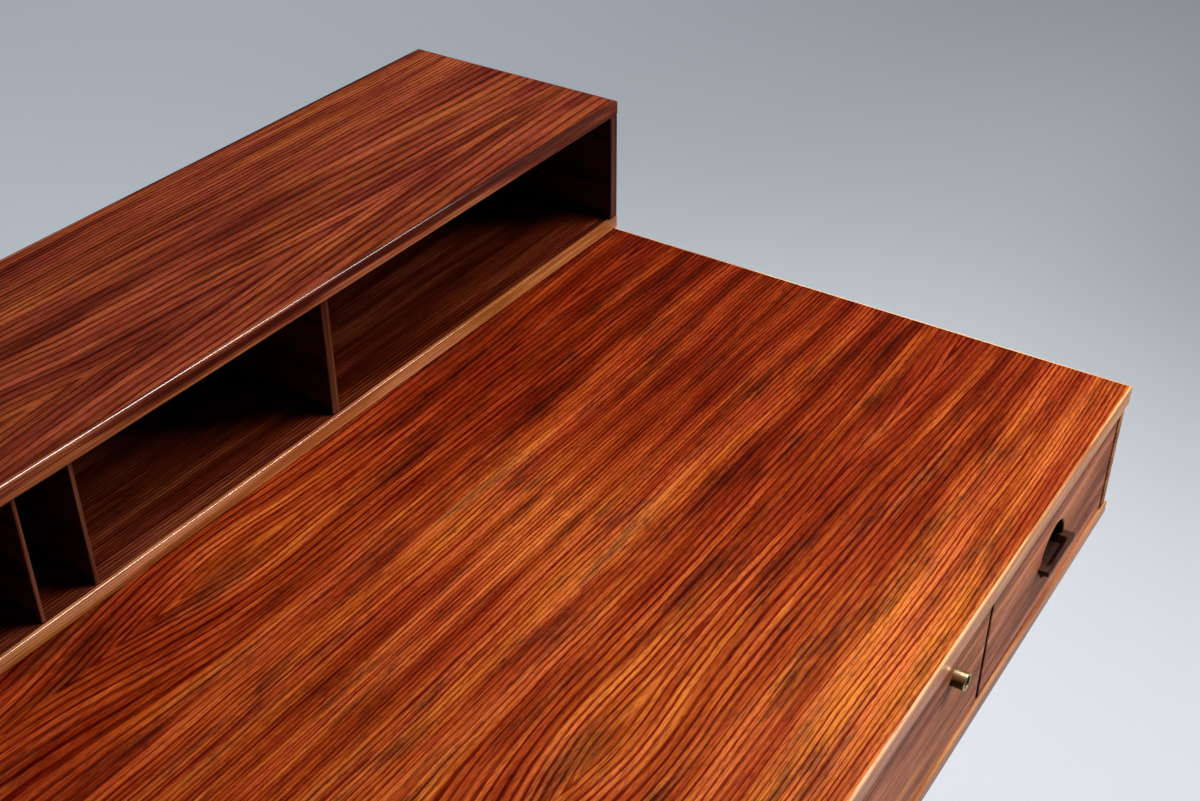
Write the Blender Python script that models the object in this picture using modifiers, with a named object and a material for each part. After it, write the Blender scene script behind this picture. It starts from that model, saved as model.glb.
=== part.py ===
"""A partners desk whose pigeonhole unit flips over its back edge.

Metres, +Z up. The sitter's side, with the drawers, faces -Y. The origin is on the floor
under the middle of the whole piece.
"""

import math

import bmesh
import bpy
from mathutils import Matrix, Vector

GAP = 0.0003  # between pieces that are glued, seated or sliding on each other

# Case
TOP_LENGTH = 1.600
DESK_DEPTH = 0.774
DESK_HEIGHT = 0.725  # floor to writing surface
TOP_THICK = 0.0185
BOTTOM_THICK = 0.013
DRAWER_ZONE = 0.1065  # clear height between bottom and top board
END_THICK = 0.011
END_SETBACK = 0.005  # end panel behind the top's end
END_FRONT_SETBACK = 0.0012  # end panel's front edge behind the top's front edge
BACK_THICK = 0.012
BACK_SETBACK = 0.001
PARTITION_THICK = 0.012
STOP_RAIL_DEPTH = 0.022
STOP_RAIL_HEIGHT = 0.045
TOP_EDGE = 0.0022  # rounding of the top's arrises
BOARD_EDGE = 0.0010
SMALL_EDGE = 0.0006

# Pigeonhole unit
HUTCH_DEPTH = 0.244
HUTCH_LIFT = 0.0005  # shadow gap under its floor
HUTCH_FLOOR_THICK = 0.0138
HUTCH_TOP_THICK = 0.0145
HUTCH_BAY_HEIGHT = 0.1102
HUTCH_END_THICK = 0.012
HUTCH_BACK_THICK = 0.008
MAIN_DIVIDER_THICK = 0.0087
MAIN_DIVIDER_X = 0.378  # from the middle of the desk
SLOT_DIVIDER_THICK = 0.004
SLOT_DIVIDERS = 6
SLOT_PITCH = 0.0482
DIVIDER_SETBACK = 0.004

# Continuous hinge along the back edge
HINGE_LENGTH = 1.500
HINGE_OFFSET = 0.001  # axis behind the two back faces
HINGE_KNUCKLES = 21
KNUCKLE_RADIUS = 0.0026
KNUCKLE_GAP = 0.0005
KNUCKLE_ROOM = 0.0008  # rebate round the knuckles
PIN_RADIUS = 0.0012
LEAF_THICK = 0.0012
LEAF_HEIGHT = 0.0085
LEAF_TAB_INSET = 0.0002

# Drawers
FRONT_SETBACK = 0.0023  # drawer faces behind the top's front edge
FRONT_THICK = 0.016
FRONT_TOP_GAP = 0.0012
FRONT_BOTTOM_GAP = 0.0012
END_GAP = 0.0012
SPLIT_GAP = 0.0020
END_FRONT_WIDTH = 0.2868
SIDE_THICK = 0.010
SIDE_HEIGHT = 0.085
SIDE_LENGTH = 0.560
SIDE_CLEARANCE = 0.0008
PARTITION_CLEARANCE = 0.0015  # behind the drawer faces
DRAWER_BACK_THICK = 0.010
DRAWER_BOTTOM_THICK = 0.005
GROOVE_DEPTH = 0.004
GROOVE_HEIGHT = 0.008  # groove above the side's lower edge

# Pulls: a scooped bar across a round hole
HOLE_DIAMETER = 0.052
PULL_SEAT = 0.005  # how far each end of the bar is let in beside the hole
PULL_PROJECTION = 0.009
PULL_INSET = 0.009
PULL_EDGE_THICK = 0.0048
PULL_BELLY = 0.0085
BELLY_CLEARANCE = 0.0008
BELLY_FRONT_SETBACK = 0.0015
BELLY_BACK_SETBACK = 0.0011
PULL_LIP = 0.003
PULL_END_WALL = 0.0085
SCOOP_FLOOR = 0.0025
SCOOP_ROUND = 0.0055
PULL_EDGE = 0.0006

# Push locks on the two middle drawers
LOCK_RADIUS = 0.007
LOCK_CLEARANCE = 0.0003
LOCK_PROJECTION = 0.0105
LOCK_TRAVEL = 0.008
LOCK_FROM_SPLIT = 0.069
LOCK_BELOW_EDGE = 0.0225  # lock axis below the drawer face's upper edge
BOLT_WIDTH = 0.012
BOLT_THICK = 0.010
BOLT_REST = 0.0018  # bolt's head under the top board at rest
MORTISE_ROOM = 0.001
WEDGE_GAP = 0.0003
KEY_WIDTH = 0.0018
KEY_HEIGHT = 0.0075
KEY_DEPTH = 0.006

# Base
LEG_FROM_END = 0.300
LEG_FROM_EDGE = 0.110
LEG_TOP_X = 0.036
LEG_TOP_Y = 0.044
LEG_FOOT_X = 0.024
LEG_FOOT_Y = 0.026
LEG_EDGE = 0.004
RAIL_HEIGHT = 0.048
RAIL_THICK = 0.026
STRETCHER_HEIGHT = 0.040
STRETCHER_THICK = 0.024
STRETCHER_Y = 0.060

# Places that follow from the sizes
HALF = TOP_LENGTH / 2
CASE_HEIGHT = TOP_THICK + DRAWER_ZONE + BOTTOM_THICK
FRONT_REACH = max(LOCK_PROJECTION, PULL_PROJECTION) - FRONT_SETBACK
REAR_REACH = HINGE_OFFSET + KNUCKLE_RADIUS
Y_FRONT = (FRONT_REACH - DESK_DEPTH - REAR_REACH) / 2
Y_BACK = Y_FRONT + DESK_DEPTH
Y_FACE = Y_FRONT + FRONT_SETBACK
Y_FACE_BACK = Y_FACE + FRONT_THICK
Y_SIDE_END = Y_FACE_BACK + GAP + SIDE_LENGTH
Y_HUTCH = Y_BACK - HUTCH_DEPTH
Z_TOP = DESK_HEIGHT
Z_UNDER = Z_TOP - TOP_THICK
Z_FLOOR = Z_UNDER - DRAWER_ZONE  # upper face of the bottom board
Z_BASE = Z_FLOOR - BOTTOM_THICK
Z_FACE_LOW = Z_FLOOR + FRONT_BOTTOM_GAP
Z_FACE_HIGH = Z_UNDER - FRONT_TOP_GAP
Z_PULL = (Z_FACE_LOW + Z_FACE_HIGH) / 2
Z_LOCK = Z_FACE_HIGH - LOCK_BELOW_EDGE
Z_HUTCH_LOW = Z_TOP + HUTCH_LIFT
Z_BAY_LOW = Z_HUTCH_LOW + HUTCH_FLOOR_THICK
Z_BAY_HIGH = Z_BAY_LOW + HUTCH_BAY_HEIGHT
Z_HUTCH_TOP = Z_BAY_HIGH + HUTCH_TOP_THICK
X_END_IN = HALF - END_SETBACK - END_THICK
X_SPLIT = X_END_IN - END_GAP - END_FRONT_WIDTH - SPLIT_GAP / 2
X_LOCK = X_SPLIT - LOCK_FROM_SPLIT
X_LEG = HALF - LEG_FROM_END
HINGE_AXIS = Vector((0.0, Y_BACK + HINGE_OFFSET, Z_TOP + HUTCH_LIFT / 2))
HOLE_RADIUS = HOLE_DIAMETER / 2
PULL_HALF = HOLE_RADIUS + PULL_SEAT


def clear_scene():
    """Start from an empty scene."""
    for obj in list(bpy.data.objects):
        bpy.data.objects.remove(obj, do_unlink=True)


def collection(name, shown=True):
    """A new collection in the scene."""
    made = bpy.data.collections.new(name)
    made.hide_render = not shown
    bpy.context.scene.collection.children.link(made)
    return made


def finish(name, colour, roughness, metallic=0.0):
    """A plain material in the piece's colour."""
    made = bpy.data.materials.new(name)
    made.use_nodes = True
    shader = made.node_tree.nodes["Principled BSDF"]
    shader.inputs["Base Color"].default_value = (*colour, 1.0)
    shader.inputs["Roughness"].default_value = roughness
    shader.inputs["Metallic"].default_value = metallic
    return made


clear_scene()
DESK = collection("partners_desk")
CUTTERS = collection("cutters", shown=False)
ROSEWOOD = finish("rosewood", (0.36, 0.10, 0.03), 0.35)
FACE_WOOD = finish("rosewood_face", (0.30, 0.14, 0.08), 0.45)
DARK_WOOD = finish("rosewood_dark", (0.10, 0.04, 0.025), 0.40)
INNER_WOOD = finish("drawer_wood", (0.52, 0.36, 0.20), 0.55)
BRASS = finish("brass", (0.72, 0.58, 0.30), 0.30, 1.0)


def axis_empty(name, at):
    """An empty that carries a moving group, on its joint's axis."""
    empty = bpy.data.objects.new(name, None)
    empty.empty_display_size = 0.03
    empty.location = at
    DESK.objects.link(empty)
    return empty


def place(obj, centre, carrier, home):
    """Put an object in its collection, at a place in the world, under its carrier."""
    home.objects.link(obj)
    obj.parent = carrier
    obj.location = Vector(centre) - (carrier.location if carrier else Vector())


def block(name, x, y, z, carrier, home, edge=0.0, steps=2):
    """A box between (low, high) pairs, with rounded edges if asked for."""
    mesh = bpy.data.meshes.new(name)
    bm = bmesh.new()
    bmesh.ops.create_cube(bm, size=1.0)
    bmesh.ops.scale(bm, vec=(x[1] - x[0], y[1] - y[0], z[1] - z[0]), verts=bm.verts)
    bm.to_mesh(mesh)
    bm.free()
    obj = bpy.data.objects.new(name, mesh)
    place(obj, (sum(x) / 2, sum(y) / 2, sum(z) / 2), carrier, home)
    if edge:
        bevel = obj.modifiers.new("edges", "BEVEL")
        bevel.width = edge
        bevel.segments = steps
        bevel.limit_method = "ANGLE"
    return obj


def board(name, x, y, z, wood, carrier=None, edge=BOARD_EDGE, steps=1):
    """A wooden piece of the desk."""
    obj = block(name, x, y, z, carrier, DESK, edge, steps)
    obj.data.materials.append(wood)
    return obj


def rod(name, centre, along, radius, length, sides, carrier, home):
    """A round bar along X, Y or Z."""
    turn = {"X": Matrix.Rotation(math.pi / 2, 3, "Y"), "Y": Matrix.Rotation(math.pi / 2, 3, "X")}
    mesh = bpy.data.meshes.new(name)
    bm = bmesh.new()
    bmesh.ops.create_cone(
        bm, cap_ends=True, segments=sides, radius1=radius, radius2=radius, depth=length
    )
    if along in turn:
        bmesh.ops.rotate(bm, cent=(0, 0, 0), matrix=turn[along], verts=bm.verts)
    bm.to_mesh(mesh)
    bm.free()
    mesh.shade_smooth()
    mesh.set_sharp_from_angle(angle=math.radians(40))
    obj = bpy.data.objects.new(name, mesh)
    place(obj, centre, carrier, home)
    return obj


def as_cutter(obj):
    """Mark an object that only shapes another one."""
    obj.hide_render = True
    obj.display_type = "WIRE"
    return obj


def combine(obj, other, operation):
    """Cut, join or intersect with a helper object."""
    modifier = obj.modifiers.new(operation.lower(), "BOOLEAN")
    modifier.operation = operation
    modifier.object = as_cutter(other)


def cut_box(obj, x, y, z, edge=0.0, steps=2):
    """Cut a box out of a piece."""
    name = f"cut_{obj.name}_{len(CUTTERS.objects)}"
    combine(obj, block(name, x, y, z, obj.parent, CUTTERS, edge, steps), "DIFFERENCE")


def cut_round(obj, centre, along, radius, length, sides):
    """Drill a piece."""
    name = f"drill_{obj.name}_{len(CUTTERS.objects)}"
    tool = rod(name, centre, along, radius, length, sides, obj.parent, CUTTERS)
    combine(obj, tool, "DIFFERENCE")


def about(middle, half):
    """The (low, high) pair on either side of a middle."""
    return (middle - half, middle + half)


def make_case():
    """Top, bottom, ends, back, partitions and the rail that stops the drawers."""
    x_full = about(0.0, HALF)
    y_full = (Y_FRONT, Y_BACK)
    top = board("desk_top", x_full, y_full, (Z_UNDER, Z_TOP), ROSEWOOD, edge=TOP_EDGE, steps=3)
    hinge_x = about(0.0, HINGE_LENGTH / 2 + GAP)
    rebate = KNUCKLE_RADIUS + KNUCKLE_ROOM
    leaf_low = HINGE_AXIS.z - rebate - LEAF_HEIGHT
    beyond = 0.01
    cut_box(
        top,
        hinge_x,
        (HINGE_AXIS.y - rebate, Y_BACK + beyond),
        (HINGE_AXIS.z - rebate, Z_TOP + beyond),
    )
    cut_box(
        top,
        hinge_x,
        (Y_BACK - LEAF_THICK - GAP, Y_BACK + beyond),
        (leaf_low - GAP, Z_TOP + beyond),
    )
    for side in (-1, 1):
        cut_box(
            top,
            about(side * X_LOCK, BOLT_WIDTH / 2 + MORTISE_ROOM),
            (Y_FACE_BACK + GAP - MORTISE_ROOM, Y_FACE_BACK + GAP + BOLT_THICK + MORTISE_ROOM),
            (Z_UNDER - beyond, Z_UNDER + LOCK_TRAVEL - BOLT_REST + MORTISE_ROOM),
        )
    board("case_bottom", x_full, y_full, (Z_BASE, Z_FLOOR), FACE_WOOD)
    inside = (Z_FLOOR + GAP, Z_UNDER - GAP)
    y_back_panel = Y_BACK - BACK_SETBACK - BACK_THICK
    for side, word in ((-1, "left"), (1, "right")):
        outer = side * (HALF - END_SETBACK)
        inner = side * X_END_IN
        board(
            f"end_panel_{word}",
            (min(outer, inner), max(outer, inner)),
            (Y_FRONT + END_FRONT_SETBACK, y_back_panel - GAP),
            inside,
            FACE_WOOD,
        )
    board(
        "back_panel",
        about(0.0, HALF - END_SETBACK),
        (y_back_panel, Y_BACK - BACK_SETBACK),
        inside,
        FACE_WOOD,
    )
    y_rail = Y_SIDE_END + GAP
    for middle, word in ((-X_SPLIT, "left"), (0.0, "centre"), (X_SPLIT, "right")):
        board(
            f"partition_{word}",
            about(middle, PARTITION_THICK / 2),
            (Y_FACE_BACK + PARTITION_CLEARANCE, y_rail - GAP),
            inside,
            INNER_WOOD,
            edge=SMALL_EDGE,
        )
    board(
        "drawer_stop_rail",
        about(0.0, X_END_IN - GAP),
        (y_rail, y_rail + STOP_RAIL_DEPTH),
        (Z_FLOOR + GAP, Z_FLOOR + GAP + STOP_RAIL_HEIGHT),
        INNER_WOOD,
        edge=SMALL_EDGE,
    )


def make_leg(name, x, y):
    """A leg, straight where the rail meets it and tapered below."""
    z_head = Z_BASE - GAP
    leg = board(
        name,
        about(x, LEG_TOP_X / 2),
        about(y, LEG_TOP_Y / 2),
        (0.0, z_head),
        DARK_WOOD,
        edge=LEG_EDGE,
        steps=3,
    )
    bm = bmesh.new()
    bm.from_mesh(leg.data)
    shoulder = z_head / 2 - RAIL_HEIGHT
    bmesh.ops.bisect_plane(
        bm, geom=bm.verts[:] + bm.edges[:] + bm.faces[:], plane_co=(0, 0, shoulder), plane_no=(0, 0, 1)
    )
    foot = [v for v in bm.verts if v.co.z < -z_head / 2 + GAP]
    bmesh.ops.scale(bm, vec=(LEG_FOOT_X / LEG_TOP_X, LEG_FOOT_Y / LEG_TOP_Y, 1.0), verts=foot)
    bm.to_mesh(leg.data)
    bm.free()


def make_base():
    """Two leg frames and the stretcher between them."""
    z_head = Z_BASE - GAP
    y_front_leg = Y_FRONT + LEG_FROM_EDGE
    y_rear_leg = Y_BACK - LEG_FROM_EDGE
    for side, word in ((-1, "left"), (1, "right")):
        make_leg(f"leg_front_{word}", side * X_LEG, y_front_leg)
        make_leg(f"leg_rear_{word}", side * X_LEG, y_rear_leg)
        board(
            f"cross_rail_{word}",
            about(side * X_LEG, RAIL_THICK / 2),
            (y_front_leg + LEG_TOP_Y / 2 + GAP, y_rear_leg - LEG_TOP_Y / 2 - GAP),
            (z_head - RAIL_HEIGHT, z_head),
            DARK_WOOD,
        )
    board(
        "stretcher",
        about(0.0, X_LEG - RAIL_THICK / 2 - GAP),
        about(STRETCHER_Y, STRETCHER_THICK / 2),
        (z_head - STRETCHER_HEIGHT, z_head),
        DARK_WOOD,
    )


def make_hutch(carrier):
    """The pigeonhole unit that stands on the back of the desk and flips over behind it."""
    x_full = about(0.0, HALF)
    y_full = (Y_HUTCH, Y_BACK)
    board(
        "hutch_top",
        x_full,
        y_full,
        (Z_BAY_HIGH, Z_HUTCH_TOP),
        ROSEWOOD,
        carrier,
        TOP_EDGE,
        3,
    )
    floor = board("hutch_floor", x_full, y_full, (Z_HUTCH_LOW, Z_BAY_LOW), ROSEWOOD, carrier)
    hinge_x = about(0.0, HINGE_LENGTH / 2 + GAP)
    rebate = KNUCKLE_RADIUS + KNUCKLE_ROOM
    leaf_high = HINGE_AXIS.z + rebate + LEAF_HEIGHT
    beyond = 0.01
    cut_box(
        floor,
        hinge_x,
        (HINGE_AXIS.y - rebate, Y_BACK + beyond),
        (Z_TOP - beyond, HINGE_AXIS.z + rebate),
    )
    cut_box(
        floor,
        hinge_x,
        (Y_BACK - LEAF_THICK - GAP, Y_BACK + beyond),
        (Z_TOP - beyond, leaf_high + GAP),
    )
    bay = (Z_BAY_LOW + GAP, Z_BAY_HIGH - GAP)
    y_back_panel = Y_BACK - HUTCH_BACK_THICK
    for side, word in ((-1, "left"), (1, "right")):
        outer = side * HALF
        inner = side * (HALF - HUTCH_END_THICK)
        board(
            f"hutch_end_{word}",
            (min(outer, inner), max(outer, inner)),
            y_full,
            bay,
            ROSEWOOD,
            carrier,
        )
        board(
            f"hutch_divider_{word}",
            about(side * MAIN_DIVIDER_X, MAIN_DIVIDER_THICK / 2),
            (Y_HUTCH + DIVIDER_SETBACK, y_back_panel - GAP),
            bay,
            ROSEWOOD,
            carrier,
            SMALL_EDGE,
        )
    board(
        "hutch_back",
        about(0.0, HALF - HUTCH_END_THICK - GAP),
        (y_back_panel, Y_BACK),
        bay,
        ROSEWOOD,
        carrier,
        SMALL_EDGE,
    )
    for number in range(SLOT_DIVIDERS):
        middle = (number - (SLOT_DIVIDERS - 1) / 2) * SLOT_PITCH
        board(
            f"slot_divider_{number + 1}",
            about(middle, SLOT_DIVIDER_THICK / 2),
            (Y_HUTCH + DIVIDER_SETBACK, y_back_panel - GAP),
            bay,
            ROSEWOOD,
            carrier,
            SMALL_EDGE,
        )


def make_hinge_leaf(name, up, first, carrier):
    """A leaf let into a back edge, with every second knuckle of the hinge from the given one."""
    rebate = KNUCKLE_RADIUS + KNUCKLE_ROOM
    near = HINGE_AXIS.z + up * rebate
    far = HINGE_AXIS.z + up * (rebate + LEAF_HEIGHT)
    y_leaf = (Y_BACK - LEAF_THICK, Y_BACK)
    x_leaf = about(0.0, HINGE_LENGTH / 2)
    leaf = board(name, x_leaf, y_leaf, (min(near, far), max(near, far)), BRASS, carrier, 0.0)
    pitch = HINGE_LENGTH / HINGE_KNUCKLES
    count = len(range(first, HINGE_KNUCKLES, 2))
    x_first = -HINGE_LENGTH / 2 + (first + 0.5) * pitch
    long = pitch - KNUCKLE_GAP
    knuckle = rod(
        f"{name}_knuckles",
        (x_first, HINGE_AXIS.y, HINGE_AXIS.z),
        "X",
        KNUCKLE_RADIUS,
        long,
        12,
        carrier,
        CUTTERS,
    )
    inside = near + up * LEAF_HEIGHT / 4
    tab = block(
        f"{name}_tabs",
        about(x_first, long / 2 - LEAF_TAB_INSET),
        (y_leaf[0] + LEAF_TAB_INSET, y_leaf[1] - LEAF_TAB_INSET),
        (min(HINGE_AXIS.z, inside), max(HINGE_AXIS.z, inside)),
        carrier,
        CUTTERS,
    )
    for helper in (tab, knuckle):
        row = helper.modifiers.new("row", "ARRAY")
        row.count = count
        row.use_relative_offset = False
        row.use_constant_offset = True
        row.constant_offset_displace = (2 * pitch, 0.0, 0.0)
        combine(leaf, helper, "UNION")
    cut_round(leaf, HINGE_AXIS, "X", PIN_RADIUS + GAP, HINGE_LENGTH + 0.02, 10)


def make_hinge(carrier):
    """Two leaves and the pin that runs through their knuckles."""
    make_hinge_leaf("hinge_leaf_desk", -1, 0, None)
    make_hinge_leaf("hinge_leaf_hutch", 1, 1, carrier)
    pin = rod("hinge_pin", HINGE_AXIS, "X", PIN_RADIUS, HINGE_LENGTH, 10, None, DESK)
    pin.data.materials.append(BRASS)


def make_pull(name, x, carrier):
    """A bar across the hole in a drawer face, hollowed for the fingers behind a thin lip."""
    front = Y_FACE - PULL_PROJECTION
    back = Y_FACE + PULL_INSET
    bar = board(
        name,
        about(x, PULL_HALF),
        (front, back),
        (Z_PULL - PULL_EDGE_THICK, Z_PULL),
        DARK_WOOD,
        carrier,
        PULL_EDGE,
        2,
    )
    belly_half = math.sqrt(HOLE_RADIUS**2 - PULL_BELLY**2) - BELLY_CLEARANCE
    belly = block(
        f"{name}_belly",
        about(x, belly_half),
        (front + BELLY_FRONT_SETBACK, back - BELLY_BACK_SETBACK),
        (Z_PULL - PULL_BELLY, Z_PULL - PULL_EDGE_THICK / 2),
        carrier,
        CUTTERS,
        (PULL_BELLY - PULL_EDGE_THICK) / 2,
        3,
    )
    combine(bar, belly, "UNION")
    deep = PULL_BELLY - SCOOP_FLOOR
    cut_box(
        bar,
        about(x, PULL_HALF - PULL_END_WALL),
        (front + PULL_LIP, back + 2 * SCOOP_ROUND),
        (Z_PULL - deep, Z_PULL + deep),
        min(SCOOP_ROUND, deep - GAP),
        4,
    )


def make_lock(word, side, carrier, bolt_carrier):
    """A round push lock whose wedge-shaped tail lifts a bolt into the top board."""
    x = side * X_LOCK
    tail = Y_FACE_BACK + GAP + BOLT_THICK
    length = tail - (Y_FACE - LOCK_PROJECTION)
    middle = (tail + Y_FACE - LOCK_PROJECTION) / 2
    barrel = rod(f"lock_barrel_{word}", (x, middle, Z_LOCK), "Y", LOCK_RADIUS, length, 24, carrier, DESK)
    barrel.data.materials.append(BRASS)
    bolt = board(
        f"lock_bolt_{word}",
        about(x, BOLT_WIDTH / 2),
        (Y_FACE_BACK + GAP, Y_FACE_BACK + GAP + BOLT_THICK),
        (Z_LOCK - LOCK_RADIUS, Z_UNDER - BOLT_REST),
        BRASS,
        bolt_carrier,
        0.0,
    )
    slope = Matrix.Rotation(math.radians(-45), 4, "X")
    size = 4 * (LOCK_RADIUS + BOLT_THICK)
    meet = Vector((x, Y_FACE_BACK + GAP + BOLT_THICK / 2, Z_LOCK))
    square = Vector((0.0, math.sqrt(0.5), math.sqrt(0.5)))
    for piece, way in ((barrel, 1), (bolt, -1)):
        at = meet + way * square * (size - WEDGE_GAP) / 2
        tool = block(
            f"{piece.name}_wedge",
            about(at.x, size / 2),
            about(at.y, size / 2),
            about(at.z, size / 2),
            piece.parent,
            CUTTERS,
        )
        tool.rotation_euler = slope.to_euler()
        combine(piece, tool, "DIFFERENCE")
    cut_box(
        barrel,
        about(x, KEY_WIDTH / 2),
        (Y_FACE - LOCK_PROJECTION - KEY_DEPTH, Y_FACE - LOCK_PROJECTION + KEY_DEPTH),
        about(Z_LOCK, KEY_HEIGHT / 2),
    )


def make_drawer(word, face_x, box_x, lock_side):
    """One drawer: face with its round hole, box, pull and, on a middle drawer, the lock."""
    x = sum(face_x) / 2
    carrier = axis_empty(f"drawer_{word}_slide", (x, Y_FACE, Z_PULL))
    face = board(
        f"drawer_{word}_front",
        face_x,
        (Y_FACE, Y_FACE_BACK),
        (Z_FACE_LOW, Z_FACE_HIGH),
        FACE_WOOD,
        carrier,
        SMALL_EDGE,
    )
    cut_round(face, (x, Y_FACE + FRONT_THICK / 2, Z_PULL), "Y", HOLE_RADIUS, 3 * FRONT_THICK, 40)
    cut_box(
        face,
        about(x, PULL_HALF + GAP),
        (Y_FACE - FRONT_THICK, Y_FACE + PULL_INSET + GAP),
        (Z_PULL - PULL_EDGE_THICK - GAP, Z_PULL + GAP),
    )
    z_low = Z_FLOOR + GAP
    z_side = (z_low, z_low + SIDE_HEIGHT)
    y_side = (Y_FACE_BACK + GAP, Y_SIDE_END)
    z_groove = (z_low + GROOVE_HEIGHT, z_low + GROOVE_HEIGHT + DRAWER_BOTTOM_THICK)
    inner = (box_x[0] + SIDE_THICK, box_x[1] - SIDE_THICK)
    sides = (("left", (box_x[0], inner[0])), ("right", (inner[1], box_x[1])))
    for hand, x_side in sides:
        side = board(
            f"drawer_{word}_side_{hand}", x_side, y_side, z_side, INNER_WOOD, carrier, SMALL_EDGE
        )
        edge_of_groove = inner[0] if hand == "left" else inner[1]
        cut_box(
            side,
            about(edge_of_groove, GROOVE_DEPTH),
            (y_side[0] - FRONT_THICK, y_side[1] + FRONT_THICK),
            (z_groove[0] - GAP, z_groove[1] + GAP),
        )
    reach = GROOVE_DEPTH - GAP
    board(
        f"drawer_{word}_bottom",
        (inner[0] - reach, inner[1] + reach),
        y_side,
        z_groove,
        INNER_WOOD,
        carrier,
        0.0,
    )
    board(
        f"drawer_{word}_back",
        (inner[0] + GAP, inner[1] - GAP),
        (y_side[1] - DRAWER_BACK_THICK, y_side[1]),
        (z_groove[1] + GAP, z_side[1]),
        INNER_WOOD,
        carrier,
        SMALL_EDGE,
    )
    make_pull(f"drawer_{word}_pull", x, carrier)
    if lock_side:
        at = (lock_side * X_LOCK, Y_FACE, Z_LOCK)
        cut_round(
            face, (at[0], Y_FACE, at[2]), "Y", LOCK_RADIUS + LOCK_CLEARANCE, 4 * FRONT_THICK, 24
        )
        push = axis_empty(f"lock_{word}_push", at)
        lift = axis_empty(f"lock_{word}_lift", (at[0], Y_FACE_BACK, at[2]))
        make_lock("left" if lock_side < 0 else "right", lock_side, push, lift)


def make_drawers():
    """Two narrow drawers at the ends and two wide ones between them."""
    wall = PARTITION_THICK / 2 + SIDE_CLEARANCE
    end_face = (X_SPLIT + SPLIT_GAP / 2, X_END_IN - END_GAP)
    end_box = (X_SPLIT + wall, X_END_IN - SIDE_CLEARANCE)
    mid_face = (SPLIT_GAP / 2, X_SPLIT - SPLIT_GAP / 2)
    mid_box = (wall, X_SPLIT - wall)
    make_drawer("end_left", (-end_face[1], -end_face[0]), (-end_box[1], -end_box[0]), 0)
    make_drawer("mid_left", (-mid_face[1], -mid_face[0]), (-mid_box[1], -mid_box[0]), -1)
    make_drawer("mid_right", mid_face, mid_box, 1)
    make_drawer("end_right", end_face, end_box, 0)


flip = axis_empty("hutch_flip", HINGE_AXIS)
make_case()
make_base()
make_hutch(flip)
make_hinge(flip)
make_drawers()
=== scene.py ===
"""Looks of the partners desk: veneered boards with lippings, scooped pulls, brass locks and hinge.

Metres, +Z up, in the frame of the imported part. The sitter's side, with the drawers, faces -Y.
"""

from __future__ import annotations

import logging
import math
from dataclasses import dataclass, replace
from enum import Enum
from functools import cache
from typing import Any

import bmesh
import bpy
import numpy as np
from mathutils import Matrix, Vector


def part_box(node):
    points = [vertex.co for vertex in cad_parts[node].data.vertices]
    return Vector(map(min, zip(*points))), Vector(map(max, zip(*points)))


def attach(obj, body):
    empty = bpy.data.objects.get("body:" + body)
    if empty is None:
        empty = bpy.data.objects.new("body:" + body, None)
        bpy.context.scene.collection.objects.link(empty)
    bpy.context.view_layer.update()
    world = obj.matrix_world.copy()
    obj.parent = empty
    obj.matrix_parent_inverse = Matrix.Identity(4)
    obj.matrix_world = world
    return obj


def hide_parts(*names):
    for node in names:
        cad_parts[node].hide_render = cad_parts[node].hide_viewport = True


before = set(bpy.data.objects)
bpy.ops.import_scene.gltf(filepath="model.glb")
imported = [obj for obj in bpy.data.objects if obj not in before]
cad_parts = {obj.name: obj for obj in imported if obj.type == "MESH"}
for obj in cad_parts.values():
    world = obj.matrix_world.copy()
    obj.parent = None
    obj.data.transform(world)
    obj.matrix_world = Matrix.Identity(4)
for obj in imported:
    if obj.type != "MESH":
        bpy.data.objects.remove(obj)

LOG = logging.getLogger("partners_desk")
SHARP = 0.0001  # rounding of an edge that reads as sharp
WELD = 1e-7  # points nearer than this are one
SMOOTH_ANGLE = math.radians(38)  # faces that meet at less are shaded as one

Colour = tuple[float, float, float]
Triple = tuple[float, float, float]
Pairs = tuple[tuple[float, float], ...]
Skin = tuple[np.ndarray, list[list[int]]]


class Axis(Enum):
    """A direction of the frame, as its place in a point."""

    X = 0
    Y = 1
    Z = 2


class Edge(Enum):
    """A side of a board that carries a lipping."""

    FRONT = "front"
    BACK = "back"
    LEFT = "left"
    RIGHT = "right"


class Slot(Enum):
    """The part's material slots, which some boards carry."""

    TOP = "rosewood"
    FACE = "rosewood_face"
    DARK = "rosewood_dark"
    BRASS = "brass"


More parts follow.
